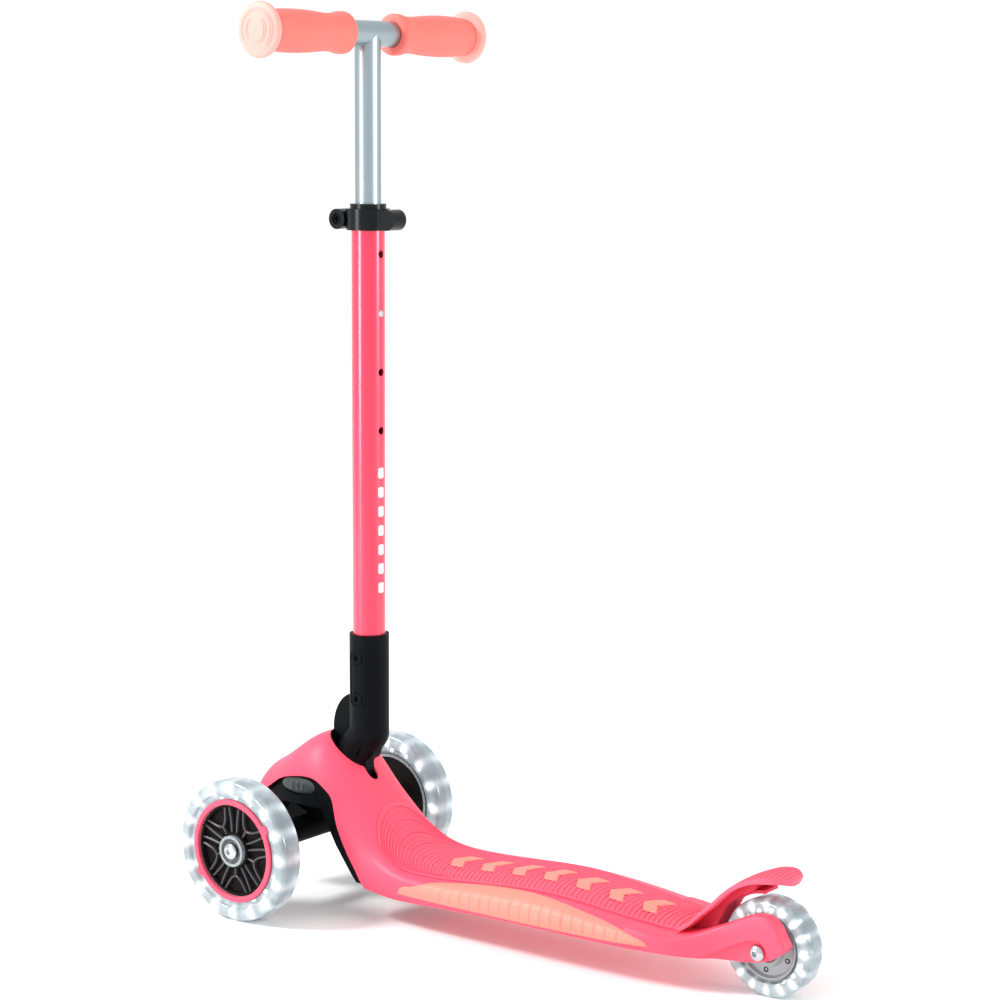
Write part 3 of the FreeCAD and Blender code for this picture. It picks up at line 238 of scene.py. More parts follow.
GLOSSY = surface("glossy_black_look", (0.003, 0.004, 0.005), 0.26, 0.7, 1300, 0.05, Specular_IOR_Level=0.2)
SPOKES = surface("wheel_black_look", (0.006, 0.0045, 0.0045), 0.50, 0.7, 1500, 0.12, 0.06,
                 Specular_IOR_Level=0.08)
# The raised ribs of the black wheel cover, drawn lighter grey than its dish: a painted highlight.
RIB_HIGHLIGHT = surface("rib_highlight_look", (0.040, 0.040, 0.044), 0.38, 0.8, 1500, 0.08, 0.05)
GREY = surface("grey_plastic_look", (0.045, 0.056, 0.058), 0.45, 0.8, 1300, 0.16)
CLEAR = surface("clear_core_look", (0.40, 0.46, 0.48), 0.25, 0.85, 300, 0.04, 0.08, Transmission_Weight=0.35,
                Coat_Weight=0.3)
HAZE = surface("rear_core_look", (0.36, 0.40, 0.41), 0.32, 0.96, 260, 0.01, 0.04, Transmission_Weight=0.15,
               Coat_Weight=0.4)
ALUMINIUM = surface("aluminium_look", (0.33, 0.40, 0.43), 0.34, 0.96, 3000, 0.02, 0.03, 1.0,
                    stretch=(1.0, 1.0, 0.02))
STEEL = surface("zinc_steel_look", (0.56, 0.60, 0.62), 0.24, 0.9, 900, 0.03, 0.05, 1.0)
RACE = surface("bearing_look", (0.10, 0.105, 0.11), 0.28, 0.9, 900, 0.03, 0.05, 1.0)
SPRING = surface("spring_steel_look", (0.45, 0.46, 0.48), 0.32, 0.9, 900, 0.04, 0.06, 1.0)
NYLON = surface("white_nylon_look", (0.80, 0.80, 0.78), 0.5, 0.92)
WHITE = surface("white_print_look", (0.92, 0.70, 0.72), 0.5, 0.97)
LAMP = lamp_material("lamp_look")


# ---- geometry helpers

def mesh_piece(name, points, faces, mat, smooth=True):
    """A mesh from points in millimetres, with tidy normals."""
    mesh = bpy.data.meshes.new(name)
    mesh.from_pydata([tuple(c * MM for c in point) for point in points], [], faces)
    piece = bpy.data.objects.new(name, mesh)
    bpy.context.collection.objects.link(piece)
    grown = bmesh.new()
    grown.from_mesh(mesh)
    bmesh.ops.remove_doubles(grown, verts=grown.verts, dist=1e-6)
    bmesh.ops.recalc_face_normals(grown, faces=grown.faces)
    grown.to_mesh(mesh)
    grown.free()
    mesh.materials.append(mat)
    if smooth:
        mesh.shade_smooth()
        mesh.set_sharp_from_angle(angle=math.radians(38))
    return piece


def finish_piece(piece, body, slot, *nodes):
    """Let a piece move with a body, and hide the CAD nodes that it replaces; the slot argument is not used.
    """
    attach(piece, body)
    if nodes:
        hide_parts(*nodes)


def grid_faces(rows, columns, wrap_rows=False, wrap_columns=False):
    """Quads between neighbouring points of a grid that is stored row by row."""
    faces = []
    for row in range(rows - (0 if wrap_rows else 1)):
        for column in range(columns - (0 if wrap_columns else 1)):
            below = (row + 1) % rows
            beside = (column + 1) % columns
            faces.append((row * columns + column, row * columns + beside, below * columns + beside,
                          below * columns + column))
    return faces


def slab_faces(rows, columns):
    """Faces of a closed slab: an outer grid of points, and after it the inner one."""
    count = rows * columns
    outer = grid_faces(rows, columns)
    faces = outer + [tuple(count + index for index in face)[::-1] for face in outer]
    for row in range(rows - 1):
        for here in (row * columns, row * columns + columns - 1):
            faces.append((here, here + columns, count + here + columns, count + here))
    for column in range(columns - 1):
        for here in (column, (rows - 1) * columns + column):
            faces.append((here, here + 1, count + here + 1, count + here))
    return faces


def prism(low, high):
    """The points and faces of a solid between two copies of an outline."""
    count = len(low)
    faces = [tuple(range(count))[::-1], tuple(range(count, 2 * count))]
    faces += [(k, (k + 1) % count, count + (k + 1) % count, count + k) for k in range(count)]
    return low + high, faces


def append_mesh(points, faces, more_points, more_faces):
    base = len(points)
    points += more_points
    faces += [tuple(base + index for index in face) for face in more_faces]


def turns(count):
    """Evenly spaced angles round a full turn."""
    return [2 * math.pi * step / count for step in range(count)]


def circle(place, radius, height, segments):
    """Points round a frame's Z axis."""
    return [tuple(place @ Vector((radius * math.cos(angle), radius * math.sin(angle), height)))
            for angle in turns(segments)]


def rounded(corners, closed=True, steps=5):
    """Round the corners of an outline: each corner is (across, up, radius)."""
    result = []
    count = len(corners)
    for index, (across, up, radius) in enumerate(corners):
        here = Vector((across, up))
        ends = not closed and index in (0, count - 1)
        if radius <= 0 or ends:
            result.append((across, up))
            continue
        back = Vector(corners[index - 1][:2]) - here
        ahead = Vector(corners[(index + 1) % count][:2]) - here
        angle = back.angle(ahead)
        reach = min(radius / math.tan(angle / 2), back.length * 0.49, ahead.length * 0.49)
        start, end = here + back.normalized() * reach, here + ahead.normalized() * reach
        for step in range(steps + 1):
            blend = step / steps
            first = start.lerp(here, blend)
            second = here.lerp(end, blend)
            point = first.lerp(second, blend)
            result.append((point.x, point.y))
    return result


def frame_at(centre, axis, across=None):
    """A matrix whose Z is an axis, through a centre, all in millimetres."""
    up = Vector(axis).normalized()
    side = Vector(across) if across else up.orthogonal()
    side = (side - up * side.dot(up)).normalized()
    other = up.cross(side)
    return Matrix.Translation(Vector(centre)) @ Matrix((side, other, up)).transposed().to_4x4()


def lathe(name, profile, place, mat, segments=96, closed=True):
    """Turn a (radius, height) outline about a frame's Z axis."""
    return mesh_piece(name, *turned(profile, place, segments, closed), mat)


def turned(profile, place, segments, closed=True):
    points = []
    for angle in turns(segments):
        for radius, height in profile:
            points.append(tuple(place @ Vector((radius * math.cos(angle), radius * math.sin(angle), height))))
    return points, grid_faces(segments, len(profile), True, closed)


def spline(knots):
    """A smooth natural cubic through (x, y) knots, as a function."""
    xs, ys = np.asarray(knots, float).T
    count = len(xs)
    gaps = np.diff(xs)
    slopes = np.diff(ys) / gaps
    matrix = np.eye(count)
    right = np.zeros(count)
    for index in range(1, count - 1):
        matrix[index, index - 1] = gaps[index - 1]
        matrix[index, index] = 2 * (gaps[index - 1] + gaps[index])
        matrix[index, index + 1] = gaps[index]
        right[index] = 6 * (slopes[index] - slopes[index - 1])
    bend = np.linalg.solve(matrix, right)

    def curve(x):
        x = min(max(x, xs[0]), xs[-1])
        index = min(int(np.searchsorted(xs, x, side="right")) - 1, count - 2)
        gap = gaps[index]
        before, after = (xs[index + 1] - x) / gap, (x - xs[index]) / gap
        return (before * ys[index] + after * ys[index + 1] + ((before ** 3 - before) * bend[index]
                + (after ** 3 - after) * bend[index + 1]) * gap * gap / 6)
    return curve


def path_lengths(points):
    """The distance along a path at each of its points."""
    return np.concatenate([[0], np.cumsum(np.linalg.norm(np.diff(points, axis=0), axis=1))])


def path_spline(points):
    """A smooth curve through points of any dimension, by chord length, as a function of 0..1."""
    points = np.asarray(points, float)
    lengths = path_lengths(points)
    curves = [spline(list(zip(lengths / lengths[-1], points[:, axis]))) for axis in range(points.shape[1])]
    return lambda t: tuple(curve(t) for curve in curves)


def smooth_step(x):
    """Rise smoothly from 0 to 1 as x does."""
    x = min(max(x, 0.0), 1.0)
    return x * x * (3 - 2 * x)


# ---- deck surface

# Stations along the deck: distance behind the front axle, half width, height where the top curve meets
# the side, ridge height, squareness, height of the lower edge.
STATIONS = [
    (-60, 24, 66, 84, 2.2, 60), (-50, 34, 68, 104, 2.2, 60), (-30, 41, 75, 121, 2.2, 55),
    (0, 45, 85, 141, 2.2, 40), (25, 46, 85, 149, 2.2, 32), (45, 47, 75, 138, 2.1, 31),
    (60, 48, 62, 119.5, 2.1, 30), (80, 49.5, 50, 94.5, 2.2, 29.5), (100, 50.5, 43, 71.5, 2.4, 27.2),
    (120, 52, 40, 57.5, 2.8, 25.6), (150, 54, 38.5, 52.3, 3.0, 26.4), (220, 56, 39, 55.5, 3.0, 29.4),
    (275, 57, 39.5, 57.8, 3.0, 30.5), (340, 55.5, 38.5, 52, 3.0, 30), (380, 51, 37, 48, 3.0, 29.5),
    (405, 44, 38, 46.5, 3.0, 29.5),
]
DECK_CURVES = [spline([(row[0], row[column]) for row in STATIONS]) for column in range(1, 6)]
NOSE, NECK_END, TAIL = STATIONS[0][0], 100, STATIONS[-1][0]
NOSE_ROUND = 2.5
WALL = 3.4
WHEEL_ARCH = [(133, 27), (142, 43.4), (150, 55), (159, 68.4), (167, 83.5), (172, 96), (180.5, 106),
              (191, 112.7), (206, 115), (223.6, 112.4), (239, 107), (253, 98), (268, 88), (279, 76)]
ARCH_CURVE = spline(WHEEL_ARCH)
SIDE_LEAN, FOOT_LEAN, FOOT_POWER = 0.6, 2.4, 1.6


def deck_numbers(behind):
    """The numbers of a station at any distance behind the front axle."""
    return [curve(behind) for curve in DECK_CURVES]


def side_lean(part):
    """How far the side has leant in, part of the way down from the top curve to the lower edge."""
    return SIDE_LEAN * min(part * 2, 1) + FOOT_LEAN * max(part * 2 - 1, 0) ** FOOT_POWER


def deck_height(behind, across):
    width, side, ridge, square, _ = deck_numbers(behind)
    inside = max(0.0, 1 - min(abs(across) / width, 0.999) ** square)
    return side + (ridge - side) * inside ** (1 / square)


def deck_top(behind, across, proud=0.0):
    """A point of the deck's top surface, moved out by proud along the surface normal."""
    step = 0.5
    rise_x = -(deck_height(behind + step, across) - deck_height(behind - step, across)) / (2 * step)
    rise_y = (deck_height(behind, across + step) - deck_height(behind, across - step)) / (2 * step)
    reach = proud / math.sqrt(1 + rise_x ** 2 + rise_y ** 2)
    return (FRONT_X - behind - rise_x * reach, across - rise_y * reach, deck_height(behind, across) + reach)


def deck_side(behind, up, proud=0.0):
    """Half width of the deck at a height."""
    width, side, ridge, square, low = deck_numbers(behind)
    if up >= side:
        part = min((up - side) / (ridge - side), 0.999)
        return width * (1 - part ** square) ** (1 / square) + proud
    return width - side_lean((side - up) / (side - low)) + proud


def deck_skin_row(behind, steps, inset):
    """One ring of the deck's skin, from the lower left edge over the ridge to the lower right edge."""
    width, side, ridge, square, low = deck_numbers(behind)
    x = FRONT_X - behind
    end = max(low, ARCH_CURVE(x)) if WHEEL_ARCH[0][0] <= x <= WHEEL_ARCH[-1][0] else low
    nose = min(max(NOSE + NOSE_ROUND - behind, 0.0), NOSE_ROUND)
    shrink = NOSE_ROUND - math.sqrt(max(NOSE_ROUND ** 2 - nose ** 2, 0.0))
    width, ridge = width - inset - shrink, ridge - inset - shrink
    side = min(side, ridge - 4)
    half = []
    for step in range(steps + 1):
        angle = math.pi / 2 * step / steps
        up = side + (ridge - side) * max(math.cos(angle), 0.0) ** (2 / square)
        half.append((width * math.sin(angle) ** (2 / square), up))
    for step in range(1, steps // 2 + 1):
        part = step / (steps // 2)
        half.append((width - side_lean(part), side + (low - side) * part))
    half = np.array(half)
    # keep the part above the end height and spread the same number of points over it
    lengths, heights = path_lengths(half), half[:, 1]
    last = lengths[-1]
    for index in range(1, len(half)):
        if heights[index] < end:
            share = (heights[index - 1] - end) / (heights[index - 1] - heights[index])
            last = lengths[index - 1] + share * (lengths[index] - lengths[index - 1])
            break
    spread = np.linspace(0, last, len(half))
    across = np.interp(spread, lengths, half[:, 0])
    up = np.interp(spread, lengths, heights)
    left = [(x, a, u) for a, u in zip(across[::-1], up[::-1])]
    return left + [(x, -a, u) for a, u in zip(across[1:], up[1:])]


def cutter(name, points, faces):
    piece = mesh_piece(name, points, faces, BLACK, smooth=False)
    piece.hide_render = True
    return piece


def apply_modifiers(piece):
    graph = bpy.context.evaluated_depsgraph_get()
    mesh = bpy.data.meshes.new_from_object(piece.evaluated_get(graph))
    piece.modifiers.clear()
    piece.data = mesh


def deck_shell():
    """The moulded deck: a skin with a wall thickness, open below, with the fold opening in its neck."""
    steps, nose_end = 26, -50
    stations = [*np.linspace(NOSE, nose_end, 9), *np.linspace(nose_end, NECK_END, 100)[1:],
                *np.linspace(NECK_END, TAIL, 110)[1:]]
    outer, inner = [], []
    for behind in stations:
        outer += deck_skin_row(behind, steps, 0.0)
        inner += deck_skin_row(behind, steps, WALL)
    faces = slab_faces(len(stations), len(outer) // len(stations))
    shell = mesh_piece("deck_skin", outer + inner, faces, PINK)
    neck = frame_at((185.5, 0, 100), (0, 0, 1))
    hole = cutter("neck_hole", *prism(circle(neck, 19.0, 0, 64), circle(neck, 19.0, 70, 64)))
    half, end, front = 5.85, 164.0, 190
    slot = [(end, -half), (front, -half), (front, half), (end, half)]
    slot += [(end - half * math.sin(math.pi * k / 8), half * math.cos(math.pi * k / 8)) for k in range(1, 8)]
    notch = cutter("neck_slot", *prism([(x, y, 100) for x, y in slot], [(x, y, 170) for x, y in slot]))
    for tool in (hole, notch):
        modifier = shell.modifiers.new(tool.name, "BOOLEAN")
        modifier.object = tool
        modifier.operation = "DIFFERENCE"
        modifier.solver = "EXACT"
    bevel = shell.modifiers.new("edges", "BEVEL")
    bevel.width = 0.9 * MM
    bevel.segments = 3
    bevel.limit_method = "ANGLE"
    bevel.angle_limit = math.radians(48)
    apply_modifiers(shell)
    bpy.data.objects.remove(hole)
    bpy.data.objects.remove(notch)
    shell.data.shade_smooth()
    shell.data.set_sharp_from_angle(angle=math.radians(45))
    finish_piece(shell, "deck", "pink_plastic", "deck_shell")


# ---- fork arms

ARM_TOP = [(-140, 48), (-165, 46), (-180, 44.6), (-194, 47.2), (-209, 53.4), (-224, 60), (-235, 65.5),
           (-247, 69), (-257, 68.5), (-263, 64.5), (-268, 57.5), (-273.5, 47)]
ARM_FOOT = [(-140, 30), (-165, 29.6), (-182, 29), (-196, 28.6), (-212, 28.4), (-228, 28.8), (-240, 30),
            (-247, 31.4), (-253, 33), (-259, 35.5), (-263, 37.8), (-268, 41.5)]
ARM_OUTER = [(-281, 26.6), (-262, 26.8), (-240, 27.4), (-225, 28.5), (-212, 31.5), (-200, 36), (-190, 40.6),
             (-180, 44.6), (-170, 47.3), (-160, 49.4), (-140, 51)]
ARM_INNER = 14.0
PANEL_EDGE = [(-200, 29), (-213, 35), (-226, 42), (-236, 46.5), (-245, 49.5), (-252, 48), (-256.5, 42),
              (-260, 34), (-262, 28)]
PANEL_DEPTH = 4.0


def fork_arm(side, label):
    """One rear fork arm: it flows out of the deck's side and carries the rear axle in a recessed panel."""
    top, foot, outer = path_spline(ARM_TOP), path_spline(ARM_FOOT), spline(ARM_OUTER)
    edge = spline([(-x, z) for x, z in PANEL_EDGE])
    front, back = PANEL_EDGE[0][0], PANEL_EDGE[-1][0]
    rows = 120
    section = rounded([(0, 0, 0.06), (0, 1, 0.10), (1, 1, 0.34), (1, 0, 0.07)], steps=10)
    dense = []
    for first, second in zip(section, section[1:] + section[:1]):
        count = 14 if math.dist(first, second) > 0.3 else 1
        dense += [tuple(a + (b - a) * k / count for a, b in zip(first, second)) for k in range(count)]
    points = []
    for row in range(rows):
        t = row / (rows - 1)
        high, low = np.array(top(t)), np.array(foot(t))
        for across, up in dense:
            x, z = low + (high - low) * up
            y = ARM_INNER + (outer(x) - ARM_INNER) * across
            if across > 0.5:
                inside = smooth_step((edge(-x) - z) / 1.6) * smooth_step((x - back) / 2)
                inside *= smooth_step((front - x) / 10)
                y -= PANEL_DEPTH * inside
            points.append((x, side * y, z))
    columns = len(dense)
    faces = grid_faces(rows, columns, False, True)
    faces += [tuple(range(columns)), tuple(range((rows - 1) * columns, rows * columns))[::-1]]
    finish_piece(mesh_piece(f"{label}_fork_arm", points, faces, PINK),
                 "deck", "pink_plastic", "deck_shell")


# ---- tread pad, emblems, side inserts

PAD_PLAN = [(-178, 31), (-150, 33), (-70, 37.5), (0, 41), (70, 43.5), (100, 42), (122, 36)]
PAD_CURVE = spline(PAD_PLAN)
APEX_X, APEX_LENGTH, APEX_HALF = 143, 39, 41.6
PAD_HEIGHT, RIDGE_HEIGHT, PAD_SUNK = 0.30, 1.25, -0.3
RIDGE_BOW = 0.0075
RIDGE_PITCH = 4.7


def pad_half_width(x):
    """Half width of the pad, closed by a rounded apex at the front."""
    if x <= PAD_PLAN[-1][0]:
        return PAD_CURVE(x)
    part = (x - APEX_X + APEX_LENGTH) / APEX_LENGTH
    return APEX_HALF * math.sqrt(max(1 - part ** 2.4, 0.0))


def ridge_wave(position):
    """Ridge profile, 1 on a crest and 0 in a groove, for a position in millimetres."""
    part = (position / RIDGE_PITCH) % 1.0
    return smooth_step(part / 0.22) * smooth_step((0.62 - part) / 0.22)


def tread_pad():
    """The ridged foot pad: its ridges start as arches that follow the rounded apex and flatten backwards."""
    samples = np.linspace(FRONT_X - APEX_X, TAIL, 1600)
    lengths = path_lengths(np.array([(FRONT_X - s, deck_numbers(s)[2]) for s in samples]))
    edge_y = np.array([pad_half_width(FRONT_X - s) for s in samples])
    widest = int(np.argmax(edge_y))
    rows, columns = 470, 57
    end = float(np.interp(TAIL - 7.5, samples, lengths))
    shares = np.linspace(-1, 1, columns)
    shares = np.sign(shares) * (1 - (1 - np.abs(shares)) ** 1.3)
    points = []
    for row in range(rows):
        start = end * row / (rows - 1)
        flat = smooth_step(start / 120)

        def reach(across):
            """Distance along the deck of this ridge line, at a place across it."""
            arch = float(np.interp(abs(across), edge_y[:widest + 1], lengths[:widest + 1]))
            return start + (1 - flat) * arch + flat * RIDGE_BOW * across * across

        margin = 0.02
        half = float(edge_y.max()) - margin
        while half > float(np.interp(reach(half), lengths, edge_y)) + margin:
            half -= 0.05
        wave = ridge_wave(start + 2.6)
        near_end = smooth_step((start - 1.8) / 0.8)
        for share in shares:
            across = half * share
            gap = half * (1 - abs(share))
            rim = smooth_step((gap - 1.6) / 0.8) * near_end
            proud = PAD_HEIGHT + RIDGE_HEIGHT * (1 - (1 - wave) * rim)
            if gap < 0.3 or row == 0:
                proud = PAD_SUNK
            points.append(deck_top(float(np.interp(reach(across), lengths, samples)), across, proud))
    pad = mesh_piece("ridged_tread_pad", points, grid_faces(rows, columns), RIDGED)
    body = pad.modifiers.new("body", "SOLIDIFY")
    body.thickness = 0.6 * MM
    body.offset = -1
    apply_modifiers(pad)
    pad.data.shade_smooth()
    finish_piece(pad, "deck", "pink_plastic", "tread_pad")


def tread_emblems():
    """Seven plain chevrons along the pad."""
    count, first, pitch = 7, 62, 33
    half_length, half_width, point = 7.0, 15.0, 9.0
    rows, columns = 31, 13
    points, faces = [], []
    for index in range(count):
        middle = FRONT_X - first + index * pitch - point / 2
        patch = []
        for row in range(rows):
            share = -1 + 2 * row / (rows - 1)
            for column in range(columns):
                along = half_length * (2 * column / (columns - 1) - 1)
                edge = min(row, rows - 1 - row, column, columns - 1 - column)
                proud = 1.0 + 0.9 * min(edge, 1)
                patch.append(deck_top(middle + along + point * abs(share), half_width * share, proud))
        append_mesh(points, faces, patch, grid_faces(rows, columns))
    finish_piece(mesh_piece("tread_chevrons", points, faces, PEACH),
                 "deck", "peach_plastic", "tread_emblems")


INSERT_TOP = [(-162, 35), (-153, 40), (-140, 44), (-122, 47.5), (-97, 51), (-71, 54), (-46, 55.5), (-19, 55),
              (20, 52), (42, 49.7), (60, 47), (73, 43), (85, 38), (92, 33)]
INSERT_CURVE = spline(INSERT_TOP)
INSERT_BACK, INSERT_FRONT = INSERT_TOP[0][0], INSERT_TOP[-1][0]


def side_insert(side, label):
    """A lens of peach plastic let into the deck's side, with shallow upright flutes."""
    length = INSERT_FRONT - INSERT_BACK
    back_foot, foot_fall, flute_pitch = 33.6, 1.8, 10.5
    rows, columns = 330, 22
    points = []
    for row in range(rows):
        x = INSERT_BACK + length * row / (rows - 1)
        low = back_foot - foot_fall * (x - INSERT_BACK) / length
        near_end = min((x - INSERT_BACK) / 16, (INSERT_FRONT - x) / 12, 1.0)
        fullness = math.sqrt(max(1 - (1 - near_end) ** 2, 0.002))
        high = low + (INSERT_CURVE(min(max(x, -150), 78)) - low) * fullness
        flute = max(math.cos(2 * math.pi * x / flute_pitch), 0.0) ** 5
        flute *= smooth_step(min(x + 150, 60 - x) / 12)
        for column in range(columns):
            share = column / (columns - 1)
            up = low + (high - low) * share
            edge = min(share, 1 - share) * (high - low)
            rim = smooth_step(edge / 1.4) * smooth_step(min(x - INSERT_BACK, INSERT_FRONT - x) / 2)
            belly = math.sin(math.pi * share)
            proud = -0.3 + 1.1 * rim + 0.35 * belly - 0.75 * flute * smooth_step((edge - 1.6) / 1.6)
            points.append((x, side * deck_side(FRONT_X - x, up, proud), up))
    finish_piece(mesh_piece(f"{label}_side_insert", points, grid_faces(rows, columns), PEACH),
                 "deck", "peach_plastic", "side_inserts")


# ---- brake fender

FENDER_TOP = [(-175, 48.2), (-184, 54), (-190, 60), (-201, 70), (-212, 81), (-223, 89.5), (-234, 95),
              (-245, 98.4), (-255, 99.5), (-263, 99), (-270, 97)]
FENDER_WIDTH = [(0.0, 31.5), (0.12, 30), (0.25, 27.5), (0.4, 25.5), (0.6, 24), (0.8, 23), (0.9, 19.5),
                (0.96, 13.5), (0.99, 7.5), (1.0, 3)]
FENDER_LENGTH = 128.0


def brake_fender():
    """The foot brake: a ridged, crowned flap that sweeps up over the rear wheel."""
    spine, width = path_spline(FENDER_TOP), spline(FENDER_WIDTH)
    rows, columns = 300, 49
    hinge_bow, crown_depth, groove = 7.5, 1.4, 1.1
    top, under = [], []
    for row in range(rows):
        t = row / (rows - 1)
        here = np.array(spine(t))
        ahead = np.array(spine(min(t + 0.004, 1.0))) - np.array(spine(max(t - 0.004, 0.0)))
        ahead /= np.linalg.norm(ahead)
        normal = np.array((ahead[1], -ahead[0]))
        half = max(width(t), 2.0)
        thick = 4.2 + 1.2 * smooth_step((t - 0.55) / 0.4)
        from_end, from_hinge = (1 - t) * FENDER_LENGTH, t * FENDER_LENGTH
        for column in range(columns):
            share = -1 + 2 * column / (columns - 1)
            share = math.copysign(1 - (1 - abs(share)) ** 1.25, share)
            across = half * share
            bow = hinge_bow * (1 - share * share) * smooth_step((0.28 - t) / 0.28)
            gap = half * (1 - abs(share))
            rim = smooth_step((gap - 2.5) / 1.5) * smooth_step(from_end / 4 - 0.6)
            rim *= smooth_step(from_hinge / 3)
            wave = ridge_wave(from_hinge - RIDGE_BOW * across ** 2 + 60)
            crown = -crown_depth * (share * share + smooth_step((abs(share) - 0.88) / 0.12))
            lift = crown - groove * (1 - wave) * rim
            drop = crown - thick * (1 - 0.6 * smooth_step((abs(share) - 0.75) / 0.25))
            for level, side in ((lift, top), (drop, under)):
                x, z = here + normal * level - ahead * bow
                side.append((x, across, z))
    finish_piece(mesh_piece("ridged_brake_fender", top + under, slab_faces(rows, columns), RIDGED),
                 "brake", "pink_plastic", "brake_fender")


def brake_web():
    """The stiffening web under the fender, from the hinge to over the wheel."""
    outline = rounded([(-178.5, 38, 2), (-178, 47, 2), (-184, 51, 2), (-200, 66, 3), (-222, 85.5, 4),
                       (-243, 94, 2), (-237, 84.5, 3), (-224, 78.5, 6), (-212, 68, 8), (-204.5, 54, 6),
                       (-203, 42, 4), (-196, 36, 3)])
    half = 12.8
    solid = prism([(x, -half, z) for x, z in outline], [(x, half, z) for x, z in outline])
    # The web takes the darker pink look: painted shade under the fender.
    web = soften(mesh_piece("brake_web", *solid, SHADED_PINK), 0.6)
    finish_piece(web, "brake", "pink_plastic", "brake_fender")


def soften(piece, width, angle=40, segments=2):
    """Round the sharp edges a little, by a modifier."""
    bevel = piece.modifiers.new("soft_edges", "BEVEL")
    bevel.width = width * MM
    bevel.segments = segments
    bevel.limit_method = "ANGLE"
    bevel.angle_limit = math.radians(angle)
    bevel.harden_normals = True
    return piece


# ---- wheels

def wheel_frame(side):
    """Z points out of the wheel, X forwards."""
    if side == 0:
        return frame_at((REAR_X, 0, REAR_Z), (0, 1, 0), (1, 0, 0))
    return frame_at((FRONT_X, side * HALF_TRACK, FRONT_Z), (0, side, 0), (1, 0, 0))


def front_tyre(side, label, body):
    """A front tyre of clear polyurethane, stepped to take its core."""
    outline = rounded([(45.2, 8.8, 0.3), (49.5, 8.8, 0.4), (50.8, 12, 1.6), (61.5, 11.4, 11.3),
                       (61.5, -11.4, 11.3), (50.8, -12, 1.6), (49.5, -8.8, 0.4), (45.2, -8.8, 0.3)], steps=9)
    centre = (FRONT_X * MM, side * HALF_TRACK * MM, FRONT_Z * MM)
    mat = clear_tyre(f"{label}_tyre_look", centre, 0.0545, 0.0058)
    finish_piece(lathe(f"{label}_clear_tyre", outline, wheel_frame(side), mat, 160),
                 body, "clear_tyre", f"{label}_tyre")


def lamp_ring(label, body, side, radius, width, node, segments=128):
    """The light ring with its lamps, deep in the tyre."""
    place = wheel_frame(side)
    inner = radius - 2.2
    outline = rounded([(inner, width, 0.4), (radius, width, 0.6), (radius, -width, 0.6),
                       (inner, -width, 0.4)], steps=3)
    finish_piece(lathe(f"{label}_magnet_ring", outline, place, CLEAR, segments), body, "light_ring", node)
    proud, half_length, half_width = 2.2, 2.0, 2.6
    rows, columns = 7, 12
    dome_faces = grid_faces(rows, columns, False, True)
    dome_faces.append(tuple(range((rows - 1) * columns, rows * columns))[::-1])
    points, faces = [], []
    for turn in turns(LAMPS):
        local = place @ Matrix.Rotation(turn, 4, "Z")
        dome = []
        for row in range(rows):
            tilt = math.pi / 2 * row / (rows - 1)
            out = radius + 0.1 + proud * math.sin(math.pi / 2 - tilt) ** 0.8
            dome += [tuple(local @ Vector((out, half_length * math.sin(tilt) * math.cos(around),
                                           half_width * math.sin(tilt) * math.sin(around))))
                     for around in turns(columns)]
        append_mesh(points, faces, dome, dome_faces)
    finish_piece(mesh_piece(f"{label}_lamps", points, faces, LAMP), body, "light_ring", node)


def web_line(line, width, bottom, top, place):
    """The points and faces of a raised rib along a flat path on a wheel cover, narrower at its crest."""
    path = path_spline(line)
    rows, half, slope = 20, width / 2, 0.5
    profile = [(-half, bottom), (-half, top - slope), (-half + slope, top), (half - slope, top),
               (half, top - slope), (half, bottom)]
    points = []
    for row in range(rows):
        t = row / (rows - 1)
        here = np.array(path(t))
        ahead = np.array(path(min(t + 0.01, 1))) - np.array(path(max(t - 0.01, 0)))
        ahead /= np.linalg.norm(ahead)
        normal = np.array((-ahead[1], ahead[0]))
        for across, up in profile:
            points.append(tuple(place @ Vector((*(here + normal * across), up))))
    columns = len(profile)
    faces = grid_faces(rows, columns)
    faces += [tuple(range(columns)), tuple(range((rows - 1) * columns, rows * columns))[::-1]]
    return points, faces


def polar(radius, degrees):
    """A flat point at a radius and an angle."""
    return (radius * math.cos(math.radians(degrees)), radius * math.sin(math.radians(degrees)))


def wheel_cover(side, label, body):
    """The black dish of a front wheel with its web of raised ribs, five times round."""
    place = wheel_frame(side)
    back, floor, rib_top, edge_top, boss_top = 2.4, 3.8, 7.4, 8.2, 8.8
    bore, boss, rim = 13.8, 15.5, 37.6
    dish = rounded([(bore, back, 0.1), (39.7, back, 0.1), (39.7, edge_top, 0.8), (rim, edge_top, 0.8),
                    (36.8, floor, 1.0), (16.4, floor, 1.0), (15.8, boss_top, 0.8),
                    (bore, boss_top, 0.6)], steps=4)
    finish_piece(lathe(f"{label}_dish", dish, place, SPOKES, 128),
                 body, "black_plastic", f"{label}_wheel_cover")
    points, faces = [], []
    for middle in range(90, 450, 72):
        loop = [(rim, -19), (30.5, -15.5), (25.0, -9), (23.0, 0), (25.0, 9), (30.5, 15.5), (rim, 19)]
        for line in ([(boss, 0), (23.0, 0)], loop, [(boss, 26), (26, 28), (rim, 27.5)],
                     [(boss, 46), (26, 44), (rim, 44.5)]):
            rib = [polar(radius, middle + turn) for radius, turn in line]
            append_mesh(points, faces, *web_line(rib, 1.9, floor - 0.3, rib_top, place))
    # The ribs take the lighter grey look: a painted highlight on the black cover.
    finish_piece(mesh_piece(f"{label}_web", points, faces, RIB_HIGHLIGHT),
                 body, "black_plastic", f"{label}_wheel_cover")


def inner_cover(side, label, body):
    """The plain inner disc of a front wheel, with a low step near its rim."""
    outline = rounded([(13.8, -2.3, 0.2), (39.7, -2.3, 0.2), (39.7, -7.6, 0.8), (36.5, -7.6, 1.0),
                       (35.5, -6.0, 1.0), (18.0, -5.2, 1.5), (16.5, -9.0, 1.0), (13.8, -9.0, 0.5)], steps=4)
    finish_piece(lathe(f"{label}_inner_dish", outline, wheel_frame(side), SPOKES, 128),
                 body, "black_plastic", f"{label}_inner_cover")


